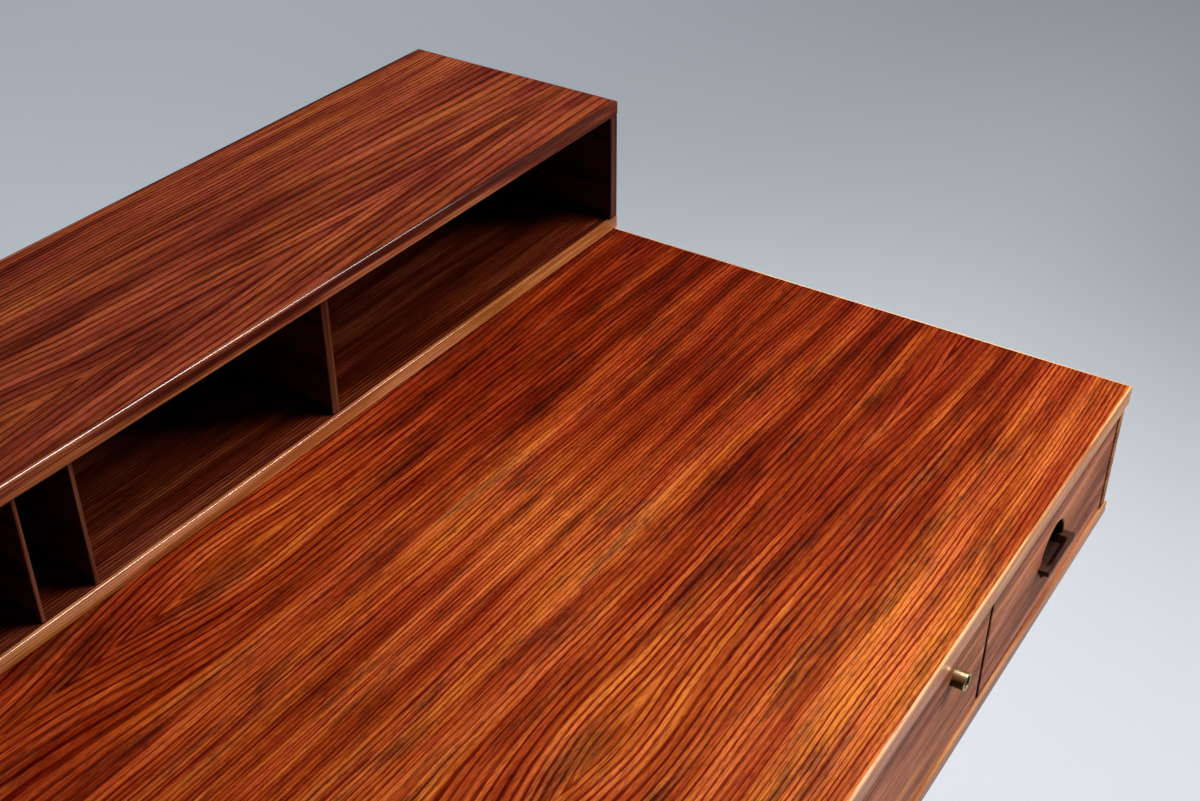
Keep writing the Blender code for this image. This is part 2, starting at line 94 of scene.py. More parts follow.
class Wire:
    """A shader socket that can stand in arithmetic: each operation adds a Math node."""

    def __init__(self, sheet: NodeSheet, socket: bpy.types.NodeSocket | None) -> None:
        """Keep the socket and the sheet that it lies on."""
        self.sheet = sheet
        self.socket = socket

    def out(self, name: str) -> Wire:
        """Another output of the same node."""
        return Wire(self.sheet, self.socket.node.outputs[name])

    def maths(self, operation: str, *values: Wire | float) -> Wire:
        """One Math node with that operation on the given values."""
        sockets = dict(enumerate(values))
        return self.sheet.node("ShaderNodeMath", {"operation": operation}, sockets)

    def __add__(self, other: Wire | float) -> Wire:
        """Sum."""
        return self.maths("ADD", self, other)

    def __radd__(self, other: float) -> Wire:
        """Sum with a number on the left."""
        return self.maths("ADD", other, self)

    def __sub__(self, other: Wire | float) -> Wire:
        """Difference."""
        return self.maths("SUBTRACT", self, other)

    def __rsub__(self, other: float) -> Wire:
        """Difference from a number."""
        return self.maths("SUBTRACT", other, self)

    def __mul__(self, other: Wire | float) -> Wire:
        """Product."""
        return self.maths("MULTIPLY", self, other)

    def __rmul__(self, other: float) -> Wire:
        """Product with a number on the left."""
        return self.maths("MULTIPLY", other, self)

    def __abs__(self) -> Wire:
        """Size without sign."""
        return self.maths("ABSOLUTE", self)

    def root(self) -> Wire:
        """Square root."""
        return self.maths("SQRT", self)

    def cosine(self) -> Wire:
        """Cosine of an angle in radians."""
        return self.maths("COSINE", self)

    def between(self, at_zero: float, at_one: float) -> Wire:
        """A value that runs from one number to another as this runs from 0 to 1."""
        return at_zero + self * (at_one - at_zero)

    def step(self, low: float, high: float) -> Wire:
        """A smooth rise from 0 at low to 1 at high; low may be the larger.

        Args:
            low: Value at which the result is 0.
            high: Value at which the result is 1.

        Returns:
            The eased value.
        """
        settings = {"interpolation_type": "SMOOTHSTEP"}
        sockets = {"Value": self, "From Min": low, "From Max": high}
        return self.sheet.node("ShaderNodeMapRange", settings, sockets)


Spot = tuple[Wire, Wire, Wire | float]


@dataclass(frozen=True)
class Cloud:
    """A cloudy variation over three coordinates."""

    scale: Triple  # clouds per unit of each coordinate
    layer: float = 0.0  # shift of the last coordinate, so that two clouds differ
    detail: float = 2.0
    rough: float = 0.5


class NodeSheet:
    """A material's or the world's node tree, written as expressions."""

    def __init__(self, owner: bpy.types.Material | bpy.types.World) -> None:
        """Empty the owner's tree."""
        owner.use_nodes = True
        self.tree = owner.node_tree
        self.tree.nodes.clear()

    def node(
        self,
        kind: str,
        settings: dict[str, Any] | None = None,
        sockets: dict[str | int, Any] | None = None,
        output: int = 0,
    ) -> Wire:
        """Add a node.

        Args:
            kind: The node's type.
            settings: Its properties, set first; "stops" gives a ramp's (place, colour) pairs.
            sockets: Values or wires for its inputs, by name or number; colours without alpha.
            output: Which output to hand back.

        Returns:
            That output.
        """
        made = self.tree.nodes.new(kind)
        for name, value in (settings or {}).items():
            if name == "stops":
                self._set_stops(made.color_ramp, value)
            elif name == "interpolation":
                made.color_ramp.interpolation = value
            else:
                setattr(made, name, value)
        for name, value in (sockets or {}).items():
            socket = made.inputs[name]
            if isinstance(value, Wire):
                self.tree.links.new(value.socket, socket)
            else:
                socket.default_value = (*value, 1.0) if socket.type == "RGBA" else value
        return Wire(self, made.outputs[output] if made.outputs else None)

    @staticmethod
    def _set_stops(ramp: bpy.types.ColorRamp, stops: list[tuple[float, Colour]]) -> None:
        """Give a colour ramp its stops.

        Args:
            ramp: The ramp.
            stops: Place and colour of each stop, in rising order.
        """
        while len(ramp.elements) < len(stops):
            ramp.elements.new(1.0)
        for element, (place, colour) in zip(ramp.elements, stops):
            element.position = place
            element.color = (*colour, 1.0)

    def place(self) -> tuple[Wire, Wire, Wire]:
        """The point on the piece, in its own (Object) coordinates, as x, y and z."""
        point = self.node("ShaderNodeTexCoord").out("Object")
        x = self.node("ShaderNodeSeparateXYZ", sockets={"Vector": point})
        return x, x.out("Y"), x.out("Z")

    def noise(self, point: Spot, cloud: Cloud, seed: float = 0.0) -> Wire:
        """Cloudy variation between 0 and 1.

        Args:
            point: Where to read it.
            cloud: Its scales and fineness.
            seed: Shift of the last coordinate besides the cloud's own.

        Returns:
            The variation.
        """
        first, second, third = (place * scale for place, scale in zip(point, cloud.scale))
        shift = cloud.layer + seed
        last = third + shift if shift else third
        vector = self.node("ShaderNodeCombineXYZ", sockets={0: first, 1: second, 2: last})
        sockets = {"Vector": vector, "Scale": 1.0, "Detail": cloud.detail, "Roughness": cloud.rough}
        return self.node("ShaderNodeTexNoise", sockets=sockets)

    def blend(self, share: Wire | float, first: Any, second: Any, way: str = "MIX") -> Wire:
        """Mix two colours.

        Args:
            share: How much of the second is used.
            first: The colour at share 0.
            second: The colour at share 1.
            way: The Mix node's blend type.

        Returns:
            The mixed colour.
        """
        settings = {"data_type": "RGBA", "blend_type": way}
        return self.node("ShaderNodeMix", settings, {0: share, 6: first, 7: second}, 2)

    def tint(self, colour: Wire, share: Wire, shade: Colour) -> Wire:
        """Multiply a colour by a shade, as far as share says."""
        return self.blend(share, colour, shade, "MULTIPLY")

    def course(self, place: Wire, pairs: Pairs) -> Wire:
        """A value that runs smoothly through (place, value) pairs.

        Args:
            place: Where to read it.
            pairs: The pairs in rising order of place.

        Returns:
            The value.
        """
        first, last = pairs[0][0], pairs[-1][0]
        high = max(value for _, value in pairs) or 1.0
        stops = [((at - first) / (last - first), (value / high,) * 3) for at, value in pairs]
        settings = {"stops": stops, "interpolation": "B_SPLINE"}
        share = {"Fac": (place - first) * (1 / (last - first))}
        return self.node("ShaderNodeValToRGB", settings, share) * high

    def bump(self, height: Wire, strength: float, distance: float) -> Wire:
        """Normals of a surface with the given height on it."""
        sockets = {"Strength": strength, "Distance": distance, "Height": height}
        return self.node("ShaderNodeBump", sockets=sockets)

    def surface(self, values: dict[str, Any]) -> None:
        """End the material in a Principled shader with the given inputs."""
        shader = self.node("ShaderNodeBsdfPrincipled", sockets=values)
        self.node("ShaderNodeOutputMaterial", sockets={"Surface": shader})


# Clouds over a board: per metre along it, across it and through it
SLOW_BEND = Cloud((2.2, 5.0, 4.0))
RIPPLE = Cloud((15.0, 45.0, 30.0), detail=3.0, rough=0.6)
FUZZ = Cloud((55.0, 330.0, 330.0), rough=0.6)
SMOKE = Cloud((9.0, 48.0, 48.0), detail=6.0, rough=0.72)
FIBRE = Cloud((14.0, 620.0, 620.0), detail=3.0, rough=0.7)
PORES = Cloud((120.0, 950.0, 950.0))

# Clouds over the growth lines: per line and per metre along the board
DRIFT = Cloud((0.22, 1.1, 1.0))
UNEVEN = Cloud((0.85, 0.9, 1.0), layer=7.0, detail=1.0)
STRENGTH = Cloud((0.40, 1.9, 1.0), layer=5.0, detail=1.0)
WEAR = Cloud((0.9, 30.0, 1.0), layer=1.0)
STREAK = Cloud((0.30, 3.2, 1.0), layer=2.0, detail=4.0, rough=0.62)
BROAD = Cloud((0.085, 2.0, 1.0), layer=9.0)
HUE = Cloud((0.20, 5.5, 1.0), layer=12.0, detail=3.0, rough=0.6)

# Clouds on brass and pale wood: per metre along X, Y and Z
TARNISH = Cloud((160.0, 160.0, 160.0), detail=4.0, rough=0.6)
SCRATCHES = Cloud((220.0, 3000.0, 3000.0))
PALE_PATCHES = Cloud((6.0, 6.0, 6.0))

# How far the clouds shift a growth line, in radians of its spacing
DRIFT_SHIFT = 9.0
UNEVEN_SHIFT = 3.4
FUZZ_SHIFT = 1.2
RIPPLE_SHARE = 0.13  # ripple against the slow bend
THIN_PACE = 2.31  # thin lines to each thick one
SHADE_STOPS = (0.0, 0.25, 0.50, 0.95)  # tones at which the four shades stand
LINE_SINK = 0.4  # how deep lines and pores lie in the lacquer, in shares of the bump
PORE_SINK = 0.6
PORE_DRYNESS = 0.12  # what a pore adds to the roughness


@dataclass(frozen=True)
class Figure:
    """How the growth lines of a log show on a board that is cut from it.

    The heart line runs along the board. Where flame rises along the board, the lines beside the
    heart close in front of it and draw pointed flames; where it falls, they open into them.
    """

    heart: float = -0.60
    flame: Pairs = ((-0.8, 0.0), (0.8, 0.0))
    flame_reach: float = 0.10
    tip: float = 0.0012
    joint: float | None = None  # where two mirrored leaves meet
    wander: float = 0.020
    line_pitch: float = 0.0034  # spacing of the lines at the far distance from the heart
    heart_pitch: float = 0.0034  # spacing at the heart
    far: float = 0.15
    bands: Pairs = ((0.0, 0.5), (1.0, 0.5))  # tone across the board
    course: Pairs = ((-0.8, 0.5), (0.8, 0.5))  # tone along the board
    tone_across: float = 0.0
    tone_from: float = -0.10


@dataclass(frozen=True)
class Finish:
    """What a surface is made of."""

    name: str

    def build(self) -> bpy.types.Material:
        """Write the material: a Principled shader with this finish's inputs."""
        material = bpy.data.materials.new(self.name)
        sheet = NodeSheet(material)
        sheet.surface(self.inputs(sheet))
        return material

    def inputs(self, sheet: NodeSheet) -> dict[str, Any]:
        """The shader's inputs, written on a sheet."""
        raise NotImplementedError


@dataclass(frozen=True)
class Rosewood(Finish):
    """Lacquered rosewood: thin dark lines and smoky patches on a red brown to orange ground."""

    along: Axis
    across: Axis
    shades: tuple[Colour, Colour, Colour, Colour]
    figure: Figure = Figure()
    seed: float = 0.0
    line_tint: Colour = (0.45, 0.25, 0.18)
    smoke_tint: Colour = (0.55, 0.42, 0.50)
    gold_tint: Colour = (1.03, 1.14, 0.62)
    deep_tint: Colour = (0.97, 0.88, 1.10)
    broad_depth: float = 0.50
    streak_depth: float = 0.80
    smoke_depth: float = 0.60
    fibre_depth: float = 0.45
    hue_depth: float = 0.8
    pore_depth: float = 0.25
    roughness: float = 0.30
    specular: float = 0.07
    coat: float = 0.0
    coat_from: float = 0.0  # height above which the coat lies
    coat_rise: float = 0.0006
    coat_roughness: float = 0.07
    coat_ior: float = 1.8

    def _count(self, sheet: NodeSheet, along: Wire, on_leaf: Spot) -> Wire:
        """The number of the growth line at a point.

        It is the distance from the wandering heart line, shifted by the flame near it, over a
        spacing that changes with that distance.

        Args:
            sheet: The sheet to write on.
            along: Place along the board.
            on_leaf: Place along, across and through the leaf of veneer.

        Returns:
            The number, whole on a line.
        """
        figure = self.figure
        bend = (sheet.noise(on_leaf, SLOW_BEND, self.seed) - 0.5) * figure.wander
        ripple = (sheet.noise(on_leaf, RIPPLE) - 0.5) * (figure.wander * RIPPLE_SHARE)
        sway = on_leaf[1] - figure.heart + bend + ripple
        reach = (sway * sway + figure.tip * figure.tip).root()
        flame = sheet.course(along, figure.flame)
        ring = reach + flame * reach.step(figure.flame_reach, 0.0)
        narrowing = (1 / figure.line_pitch - 1 / figure.heart_pitch) / (2 * figure.far)
        return ring * (1 / figure.heart_pitch) + ring * ring * narrowing

    def _lines(self, sheet: NodeSheet, on_board: Spot, on_line: Spot) -> Wire:
        """How dark a growth line is at a point: thick and thin waves of the line's number.

        Args:
            sheet: The sheet to write on.
            on_board: Place along, across and through the board.
            on_line: Number of the growth line and place along it.

        Returns:
            The darkness, 0 between lines.
        """
        drift = (sheet.noise(on_line, DRIFT, self.seed) - 0.5) * DRIFT_SHIFT
        uneven = (sheet.noise(on_line, UNEVEN, self.seed) - 0.5) * UNEVEN_SHIFT
        fuzz = (sheet.noise(on_board, FUZZ) - 0.5) * FUZZ_SHIFT
        phase = on_line[0] * (2 * math.pi) + drift + uneven + fuzz
        strength = sheet.noise(on_line, STRENGTH, self.seed).step(0.32, 0.64)
        worn = sheet.noise(on_line, WEAR, self.seed).step(0.28, 0.62)
        thick = phase.cosine().step(0.05, 0.80)
        thin = (phase * THIN_PACE + drift).cosine().step(0.1, 0.9)
        lines = thick * strength.between(0.64, 1.0) + thin * strength.between(0.30, 0.12)
        return lines * worn.between(0.78, 1.0)

    def _tone(
        self, sheet: NodeSheet, along: Wire, leaf: Wire, on_board: Spot, on_line: Spot
    ) -> Wire:
        """Place on the ramp of shades: bands and course, with streaks and fibre over them.

        Args:
            sheet: The sheet to write on.
            along: Place along the board.
            leaf: Place across the leaf of veneer.
            on_board: Place along, across and through the board.
            on_line: Number of the growth line and place along it.

        Returns:
            The tone, from 0 for dark to 1 for light.
        """
        figure = self.figure
        streak = sheet.noise(on_line, STREAK, self.seed).step(0.28, 0.72) - 0.5
        broad = sheet.noise(on_line, BROAD, self.seed) - 0.5
        fibre = sheet.noise(on_board, FIBRE) - 0.5
        tone = sheet.course(leaf, figure.bands) + sheet.course(along, figure.course) - 0.5
        tone = tone + broad * self.broad_depth + streak * self.streak_depth
        tilt = (on_board[1] - figure.tone_from) * figure.tone_across
        return tone + fibre * self.fibre_depth + tilt

    def inputs(self, sheet: NodeSheet) -> dict[str, Any]:
        """The ground's shade by its tone, tinted by hue, smoke, growth lines and pores.

        Args:
            sheet: The sheet to write on.

        Returns:
            The shader's inputs.
        """
        point = sheet.place()
        along = point[self.along.value]
        across = point[self.across.value]
        through = point[3 - self.along.value - self.across.value]
        joint = self.figure.joint
        leaf = across if joint is None else abs(across - joint)
        side = along + self.seed
        on_board = (side, across, through)
        on_leaf = (side, leaf, through)
        on_line = (self._count(sheet, along, on_leaf), side, 0.0)
        lines = self._lines(sheet, on_board, on_line)
        tone = self._tone(sheet, along, leaf, on_board, on_line)
        hue = sheet.noise(on_line, HUE, self.seed).step(0.36, 0.64)
        smoke = sheet.noise(on_leaf, SMOKE, self.seed).step(0.47, 0.68)
        pores = sheet.noise(on_board, PORES).step(0.48, 0.70)
        shades = list(zip(SHADE_STOPS, self.shades))
        colour = sheet.node("ShaderNodeValToRGB", {"stops": shades}, {"Fac": tone})
        colour = sheet.tint(colour, hue * self.hue_depth, self.gold_tint)
        colour = sheet.tint(colour, (1 - hue) * self.hue_depth, self.deep_tint)
        colour = sheet.tint(colour, smoke * self.smoke_depth, self.smoke_tint)
        colour = sheet.tint(colour, lines, self.line_tint)
        colour = sheet.tint(colour, pores * self.pore_depth, self.line_tint)
        height = 0.0 - lines * LINE_SINK - pores * PORE_SINK
        values = {
            "Base Color": colour,
            "Roughness": self.roughness + pores * PORE_DRYNESS,
            "Specular IOR Level": self.specular,
            "Normal": sheet.bump(height, strength=0.10, distance=0.0004),
        }
        if self.coat:
            coated = point[Axis.Z.value].step(self.coat_from, self.coat_from + self.coat_rise)
            values["Coat Weight"] = coated * self.coat
            values["Coat Roughness"] = self.coat_roughness
            values["Coat IOR"] = self.coat_ior
        return values


@dataclass(frozen=True)
class DrawerWood(Finish):
    """Plain pale hardwood of the drawer boxes and the frame inside the case."""

    along: Axis
    pale: Colour = (0.50, 0.32, 0.17)
    deep: Colour = (0.33, 0.19, 0.085)
    grain: tuple[float, float] = (2.5, 150.0)  # per metre along and across
    flecks: tuple[float, float] = (60.0, 900.0)

    def inputs(self, sheet: NodeSheet) -> dict[str, Any]:
        """Fine straight grain, short dark flecks and a dry surface.

        Args:
            sheet: The sheet to write on.

        Returns:
            The shader's inputs.
        """
        place = sheet.place()
        grain = sheet.noise(place, Cloud(self._scale(*self.grain), detail=3.0, rough=0.6))
        patches = sheet.noise(place, PALE_PATCHES)
        fleck = sheet.noise(place, Cloud(self._scale(*self.flecks), detail=1.0)).step(0.62, 0.75)
        share = grain.step(0.3, 0.7) * 0.7 + patches * 0.3
        colour = sheet.blend(share, self.deep, self.pale)
        return {
            "Base Color": sheet.blend(fleck * 0.4, colour, self.deep),
            "Roughness": 0.52 + fleck * 0.1,
            "Normal": sheet.bump(grain - fleck * 0.5, strength=0.12, distance=0.0004),
        }

    def _scale(self, along: float, across: float) -> Triple:
        """Scales with one value along the grain and another across it."""
        return tuple(along if axis is self.along else across for axis in Axis)


@dataclass(frozen=True)
class Brass(Finish):
    """Turned or rolled brass, a little tarnished; darkened under a height and behind a rim as
    painted shade and dark reflection.
    """

    bright: Colour = (0.72, 0.60, 0.34)
    tarnish: Colour = (0.36, 0.27, 0.13)
    # painted shade and dark reflection: the colour that the lower side, behind the front, is
    # darkened to
    lower_shade: Colour = (0.034, 0.027, 0.013)
    shade_under: float | None = None
    shade_behind: float = 0.0
    under_blur: float = 0.0015
    behind_blur: float = 0.0005

    def inputs(self, sheet: NodeSheet) -> dict[str, Any]:
        """Cloudy tarnish, fine scratches and the painted shade on the lower side.

        Args:
            sheet: The sheet to write on.

        Returns:
            The shader's inputs.
        """
        place = sheet.place()
        worn = sheet.noise(place, TARNISH).step(0.42, 0.72)
        scratch = sheet.noise(place, SCRATCHES)
        colour = sheet.blend(worn * 0.55, self.bright, self.tarnish)
        # Painted shade and dark reflection: the lower side, behind the front, is darkened nearly to
        # black.
        if self.shade_under is not None:
            _, y, z = place
            low = z.step(self.shade_under + self.under_blur, self.shade_under - self.under_blur)
            behind = y.step(self.shade_behind, self.shade_behind + self.behind_blur)
            colour = sheet.blend(low * behind * 0.95, colour, self.lower_shade)
        return {
            "Base Color": colour,
            "Metallic": 1.0,
            "Roughness": 0.24 + worn * 0.2 + scratch * 0.06,
            "Normal": sheet.bump(scratch, strength=0.08, distance=0.0001),
        }


@dataclass(frozen=True)
class FloorPaint(Finish):
    """Pale matt paint, with a faint glow of its own far behind the desk."""

    paint: Colour = (0.765, 0.80, 0.85)
    glow: Colour = (0.247, 0.276, 0.312)
    glow_course: Pairs = (  # strength of the glow by depth
        (-0.60, 0.00), (-0.30, 0.04), (0.00, 0.30), (0.25, 0.46), (0.60, 0.47),
        (0.95, 0.50), (1.60, 0.70), (2.30, 0.92), (3.20, 1.00),
    )

    def inputs(self, sheet: NodeSheet) -> dict[str, Any]:
        """The paint, and the glow where the camera or a mirroring surface sees it.

        Args:
            sheet: The sheet to write on.

        Returns:
            The shader's inputs.
        """
        _, y, _ = sheet.place()
        camera_ray = sheet.node("ShaderNodeLightPath")
        gloss_ray = camera_ray.out("Is Glossy Ray")
        seen = camera_ray + gloss_ray + camera_ray.out("Is Transmission Ray")
        share = sheet.course(y, self.glow_course) * seen
        return {
            "Base Color": self.paint,
            "Emission Color": sheet.blend(share, (0.0, 0.0, 0.0), self.glow),
            "Emission Strength": 1.0,
            "Roughness": 0.9,
            "Specular IOR Level": 0.2,
        }


# Shades of the ground, from dark to light
TOP_SHADES = (
    (0.15, 0.012, 0.002), (0.28, 0.030, 0.006), (0.46, 0.074, 0.016), (0.86, 0.24, 0.056)
)
HUTCH_SHADES = (
    (0.10, 0.013, 0.007), (0.18, 0.027, 0.014), (0.28, 0.050, 0.024), (0.50, 0.118, 0.046)
)
BROWN_SHADES = (
    (0.06, 0.009, 0.002), (0.13, 0.022, 0.005), (0.26, 0.060, 0.014), (0.48, 0.15, 0.032)
)
# Painted shade: the floor of the pigeonholes is darkened for the shade under the unit's top.
FLOOR_SHADES = (
    (0.03, 0.0035, 0.001), (0.06, 0.008, 0.002), (0.10, 0.017, 0.007), (0.27, 0.072, 0.032)
)
FACE_SHADES = (
    (0.24, 0.073, 0.034), (0.39, 0.132, 0.066), (0.56, 0.20, 0.102), (0.86, 0.35, 0.180)
)
LIPPING_SHADES = (
    (0.44, 0.16, 0.060), (0.55, 0.21, 0.088), (0.70, 0.280, 0.115), (0.94, 0.57, 0.32)
)
EDGE_SHADES = (
    (0.06, 0.010, 0.006), (0.14, 0.026, 0.013), (0.34, 0.108, 0.046), (0.53, 0.205, 0.090)
)
BASE_SHADES = (
    (0.24, 0.082, 0.032), (0.34, 0.135, 0.058), (0.49, 0.192, 0.078), (0.65, 0.31, 0.145)
)
TAN_SHADES = (
    (0.30, 0.085, 0.020), (0.40, 0.125, 0.032), (0.58, 0.230, 0.090), (0.72, 0.34, 0.155)
)
# Painted shade: the boards of the ends and dividers are near black, for the shade inside the
# pigeonholes.
DIVIDER_SHADES = (
    (0.012, 0.005, 0.003), (0.038, 0.015, 0.008), (0.078, 0.032, 0.016), (0.14, 0.060, 0.030)
)
# Painted shade: the hole's lining and the strips in the gaps between drawers are near black.
HOLE_SHADES = (
    (0.006, 0.003, 0.002), (0.020, 0.007, 0.004), (0.042, 0.014, 0.007), (0.075, 0.028, 0.013)
)
UPRIGHT_SHADES = (
    (0.03, 0.007, 0.005), (0.06, 0.016, 0.011), (0.12, 0.038, 0.023), (0.20, 0.078, 0.043)
)
DARK_SHADES = (
    (0.010, 0.004, 0.003), (0.034, 0.012, 0.008), (0.065, 0.022, 0.013), (0.12, 0.040, 0.022)
)

# What a dark growth line leaves of the ground's red, green and blue
TOP_LINE = (0.31, 0.08, 0.025)
HUTCH_LINE = (0.30, 0.16, 0.12)
FACE_LINE = (0.60, 0.43, 0.36)
LIPPING_LINE = (0.72, 0.52, 0.40)

TOP_FIGURE = Figure(
    heart=0.165,
    flame=(
        (-0.80, 0.010), (-0.60, 0.010), (-0.40, 0.030), (-0.10, 0.046), (0.04, 0.040),
        (0.18, 0.006), (0.27, 0.0155), (0.50, 0.017), (0.62, 0.013), (0.80, 0.000),
    ),
    joint=-0.0647,
    line_pitch=0.0036,
    heart_pitch=0.0056,
    bands=(
        (0.000, 0.60), (0.022, 0.38), (0.058, 0.68), (0.083, 0.58), (0.106, 0.34), (0.134, 0.46),
        (0.160, 0.58), (0.198, 0.43), (0.227, 0.46), (0.262, 0.64), (0.285, 0.76), (0.320, 0.60),
    ),
    # The course and the tilt across darken the top towards the right end and the back: partly the
    # veneer's own tone, partly painted shade.
    course=((-0.80, 0.50), (-0.10, 0.44), (0.10, 0.43), (0.36, 0.60), (0.55, 0.32), (0.80, 0.16)),
    tone_across=-0.50,
)
HUTCH_FIGURE = Figure(
    heart=0.203,
    flame=(
        (-0.80, 0.010), (-0.50, 0.022), (-0.25, 0.004), (0.02, 0.000),
        (0.10, 0.012), (0.20, 0.024), (0.50, 0.042), (0.80, 0.052),
    ),
    flame_reach=0.13,
    line_pitch=0.0044,
    heart_pitch=0.0074,
    course=((-0.80, 0.50), (0.00, 0.46), (0.40, 0.46), (0.80, 0.64)),
)
UNDER_FIGURE = replace(HUTCH_FIGURE, heart=0.27, line_pitch=0.0036, heart_pitch=0.0056)
FINE_FIGURE = Figure(line_pitch=0.0028, heart_pitch=0.0028, wander=0.008)
EDGE_FIGURE = replace(
    FINE_FIGURE,
    wander=0.004,
    bands=(
        (0.8495, 0.62), (0.8535, 0.74), (0.8560, 0.46), (0.8580, 0.24),
        (0.8605, 0.22), (0.8624, 0.24), (0.8640, 0.50),
    ),
    course=((-0.80, 0.50), (0.30, 0.48), (0.80, 0.24)),
)
UPRIGHT_FIGURE = replace(
    FINE_FIGURE, bands=((-0.80, 0.22), (-0.10, 0.50), (0.10, 0.50), (0.80, 0.22))
)
TAN_FIGURE = replace(FINE_FIGURE, course=((-0.80, 0.50), (0.35, 0.52), (0.80, 0.22)))
LIPPING_FIGURE = replace(
    FINE_FIGURE, bands=((0.7065, 0.48), (0.7225, 0.50), (0.7243, 0.80), (0.7250, 1.0))
)
FLOOR_FIGURE = replace(
    FINE_FIGURE,
    line_pitch=0.0034,
    heart_pitch=0.0034,
    course=((-0.80, 0.50), (0.10, 0.56), (0.40, 0.40), (0.80, 0.36)),
)
FACE_FIGURE = replace(
    FINE_FIGURE,
    line_pitch=0.0044,
    heart_pitch=0.0044,
    wander=0.014,
    # The course darkens the faces towards the right end as painted shade.
    course=((-0.80, 0.50), (0.30, 0.52), (0.60, 0.46), (0.80, 0.30)),
)

TOP_VENEER = Rosewood(
    "desk_top_veneer", Axis.X, Axis.Y, TOP_SHADES, TOP_FIGURE,
    line_tint=TOP_LINE, smoke_tint=(0.33, 0.36, 0.60), deep_tint=(0.98, 0.83, 0.80),
    streak_depth=0.58, smoke_depth=0.90, fibre_depth=0.80, pore_depth=0.60,
)
HUTCH_VENEER = Rosewood(
    "hutch_top_veneer", Axis.X, Axis.Y, HUTCH_SHADES, HUTCH_FIGURE, seed=3.1,
    line_tint=HUTCH_LINE, deep_tint=(0.98, 0.88, 0.84), fibre_depth=0.75, pore_depth=0.50,
)
FLOOR_VENEER = Rosewood(
    "hutch_floor_veneer", Axis.X, Axis.Y, FLOOR_SHADES, FLOOR_FIGURE, seed=5.3,
    line_tint=TOP_LINE, streak_depth=0.55, fibre_depth=0.75, pore_depth=0.50,
)
UNDER_VENEER = replace(TOP_VENEER, name="hutch_underside_veneer", figure=UNDER_FIGURE, seed=2.2)
HUTCH_SIDE = Rosewood("hutch_side_veneer", Axis.Y, Axis.Z, BROWN_SHADES, FINE_FIGURE, seed=8.2)
HUTCH_BACK = replace(HUTCH_SIDE, name="hutch_back_veneer", along=Axis.X, seed=1.7)
SHADED_DIVIDER_VENEER = replace(HUTCH_SIDE, name="divider_veneer_painted_shade", shades=DIVIDER_SHADES, seed=6.6)
FACE_VENEER = Rosewood(
    "drawer_face_veneer", Axis.X, Axis.Z, FACE_SHADES, FACE_FIGURE, seed=2.4,
    line_tint=FACE_LINE, smoke_tint=(0.70, 0.60, 0.64), streak_depth=1.0, fibre_depth=0.80,
    hue_depth=0.45, pore_depth=0.50, roughness=0.50, specular=0.06,
)
CASE_VENEER = replace(
    FACE_VENEER, name="case_end_veneer", shades=BASE_SHADES, along=Axis.Y, seed=6.1
)
BOTTOM_VENEER = replace(FACE_VENEER, name="case_bottom_veneer", across=Axis.Y, seed=4.4)
LONG_LIPPING = Rosewood(
    "lipping_along", Axis.X, Axis.Z, LIPPING_SHADES, LIPPING_FIGURE, seed=9.5,
    line_tint=LIPPING_LINE, smoke_depth=0.25, hue_depth=0.4, specular=0.10,
)
END_LIPPING = replace(LONG_LIPPING, name="lipping_ends", along=Axis.Y, seed=7.7)
BASE_LIPPING = replace(LONG_LIPPING, name="base_lipping", shades=BASE_SHADES, seed=1.4)
BASE_LIPPING_ENDS = replace(BASE_LIPPING, name="base_lipping_ends", along=Axis.Y)
HUTCH_EDGE = replace(
    LONG_LIPPING, name="hutch_top_lipping", shades=EDGE_SHADES, figure=EDGE_FIGURE, seed=3.9,
    specular=0.05, coat=0.75, coat_from=0.8616,
)
HUTCH_EDGE_ENDS = replace(HUTCH_EDGE, name="hutch_top_lipping_ends", along=Axis.Y)
UPRIGHT_EDGE = replace(
    LONG_LIPPING, name="upright_lipping", along=Axis.Z, across=Axis.X, shades=UPRIGHT_SHADES,
    figure=UPRIGHT_FIGURE, seed=5.1, specular=0.03,
)
TAN_EDGE = replace(
    LONG_LIPPING, name="hutch_floor_lipping", shades=TAN_SHADES, figure=TAN_FIGURE, seed=2.9,
    roughness=0.20, specular=0.30, coat=1.0, coat_from=0.7381,
)
TAN_EDGE_ENDS = replace(TAN_EDGE, name="hutch_floor_lipping_ends", along=Axis.Y)
LEG_WOOD = Rosewood("leg_wood", Axis.Z, Axis.X, DARK_SHADES, seed=0.6)
RAIL_WOOD = replace(LEG_WOOD, name="rail_wood", along=Axis.Y, across=Axis.Z)
PARTITION_WOOD = replace(RAIL_WOOD, name="partition_wood", seed=4.8)
STRETCHER_WOOD = replace(LEG_WOOD, name="stretcher_wood", along=Axis.X, across=Axis.Z)
PULL_WOOD = replace(STRETCHER_WOOD, name="pull_wood", roughness=0.50, specular=0.1, seed=11.0)
PAINTED_SHADE_WOOD = replace(
    LEG_WOOD, name="hole_painted_shade", shades=HOLE_SHADES, along=Axis.X, across=Axis.Y, specular=0.02
)
SIDE_WOOD = DrawerWood("drawer_side_wood", Axis.Y)
CROSS_WOOD = DrawerWood("drawer_cross_wood", Axis.X)
# The barrel's lower side is darkened as painted shade and dark reflection.
LOCK_BRASS = Brass("lock_brass", shade_under=0.6866, shade_behind=-0.3921)
HINGE_BRASS = Brass("hinge_brass", bright=(0.62, 0.48, 0.24), tarnish=(0.34, 0.24, 0.11))
FLOOR_PAINT = FloorPaint("floor_paint")


@cache
def material_of(finish: Finish) -> bpy.types.Material:
    """A finish's material, written the first time that it is asked for."""
    return finish.build()


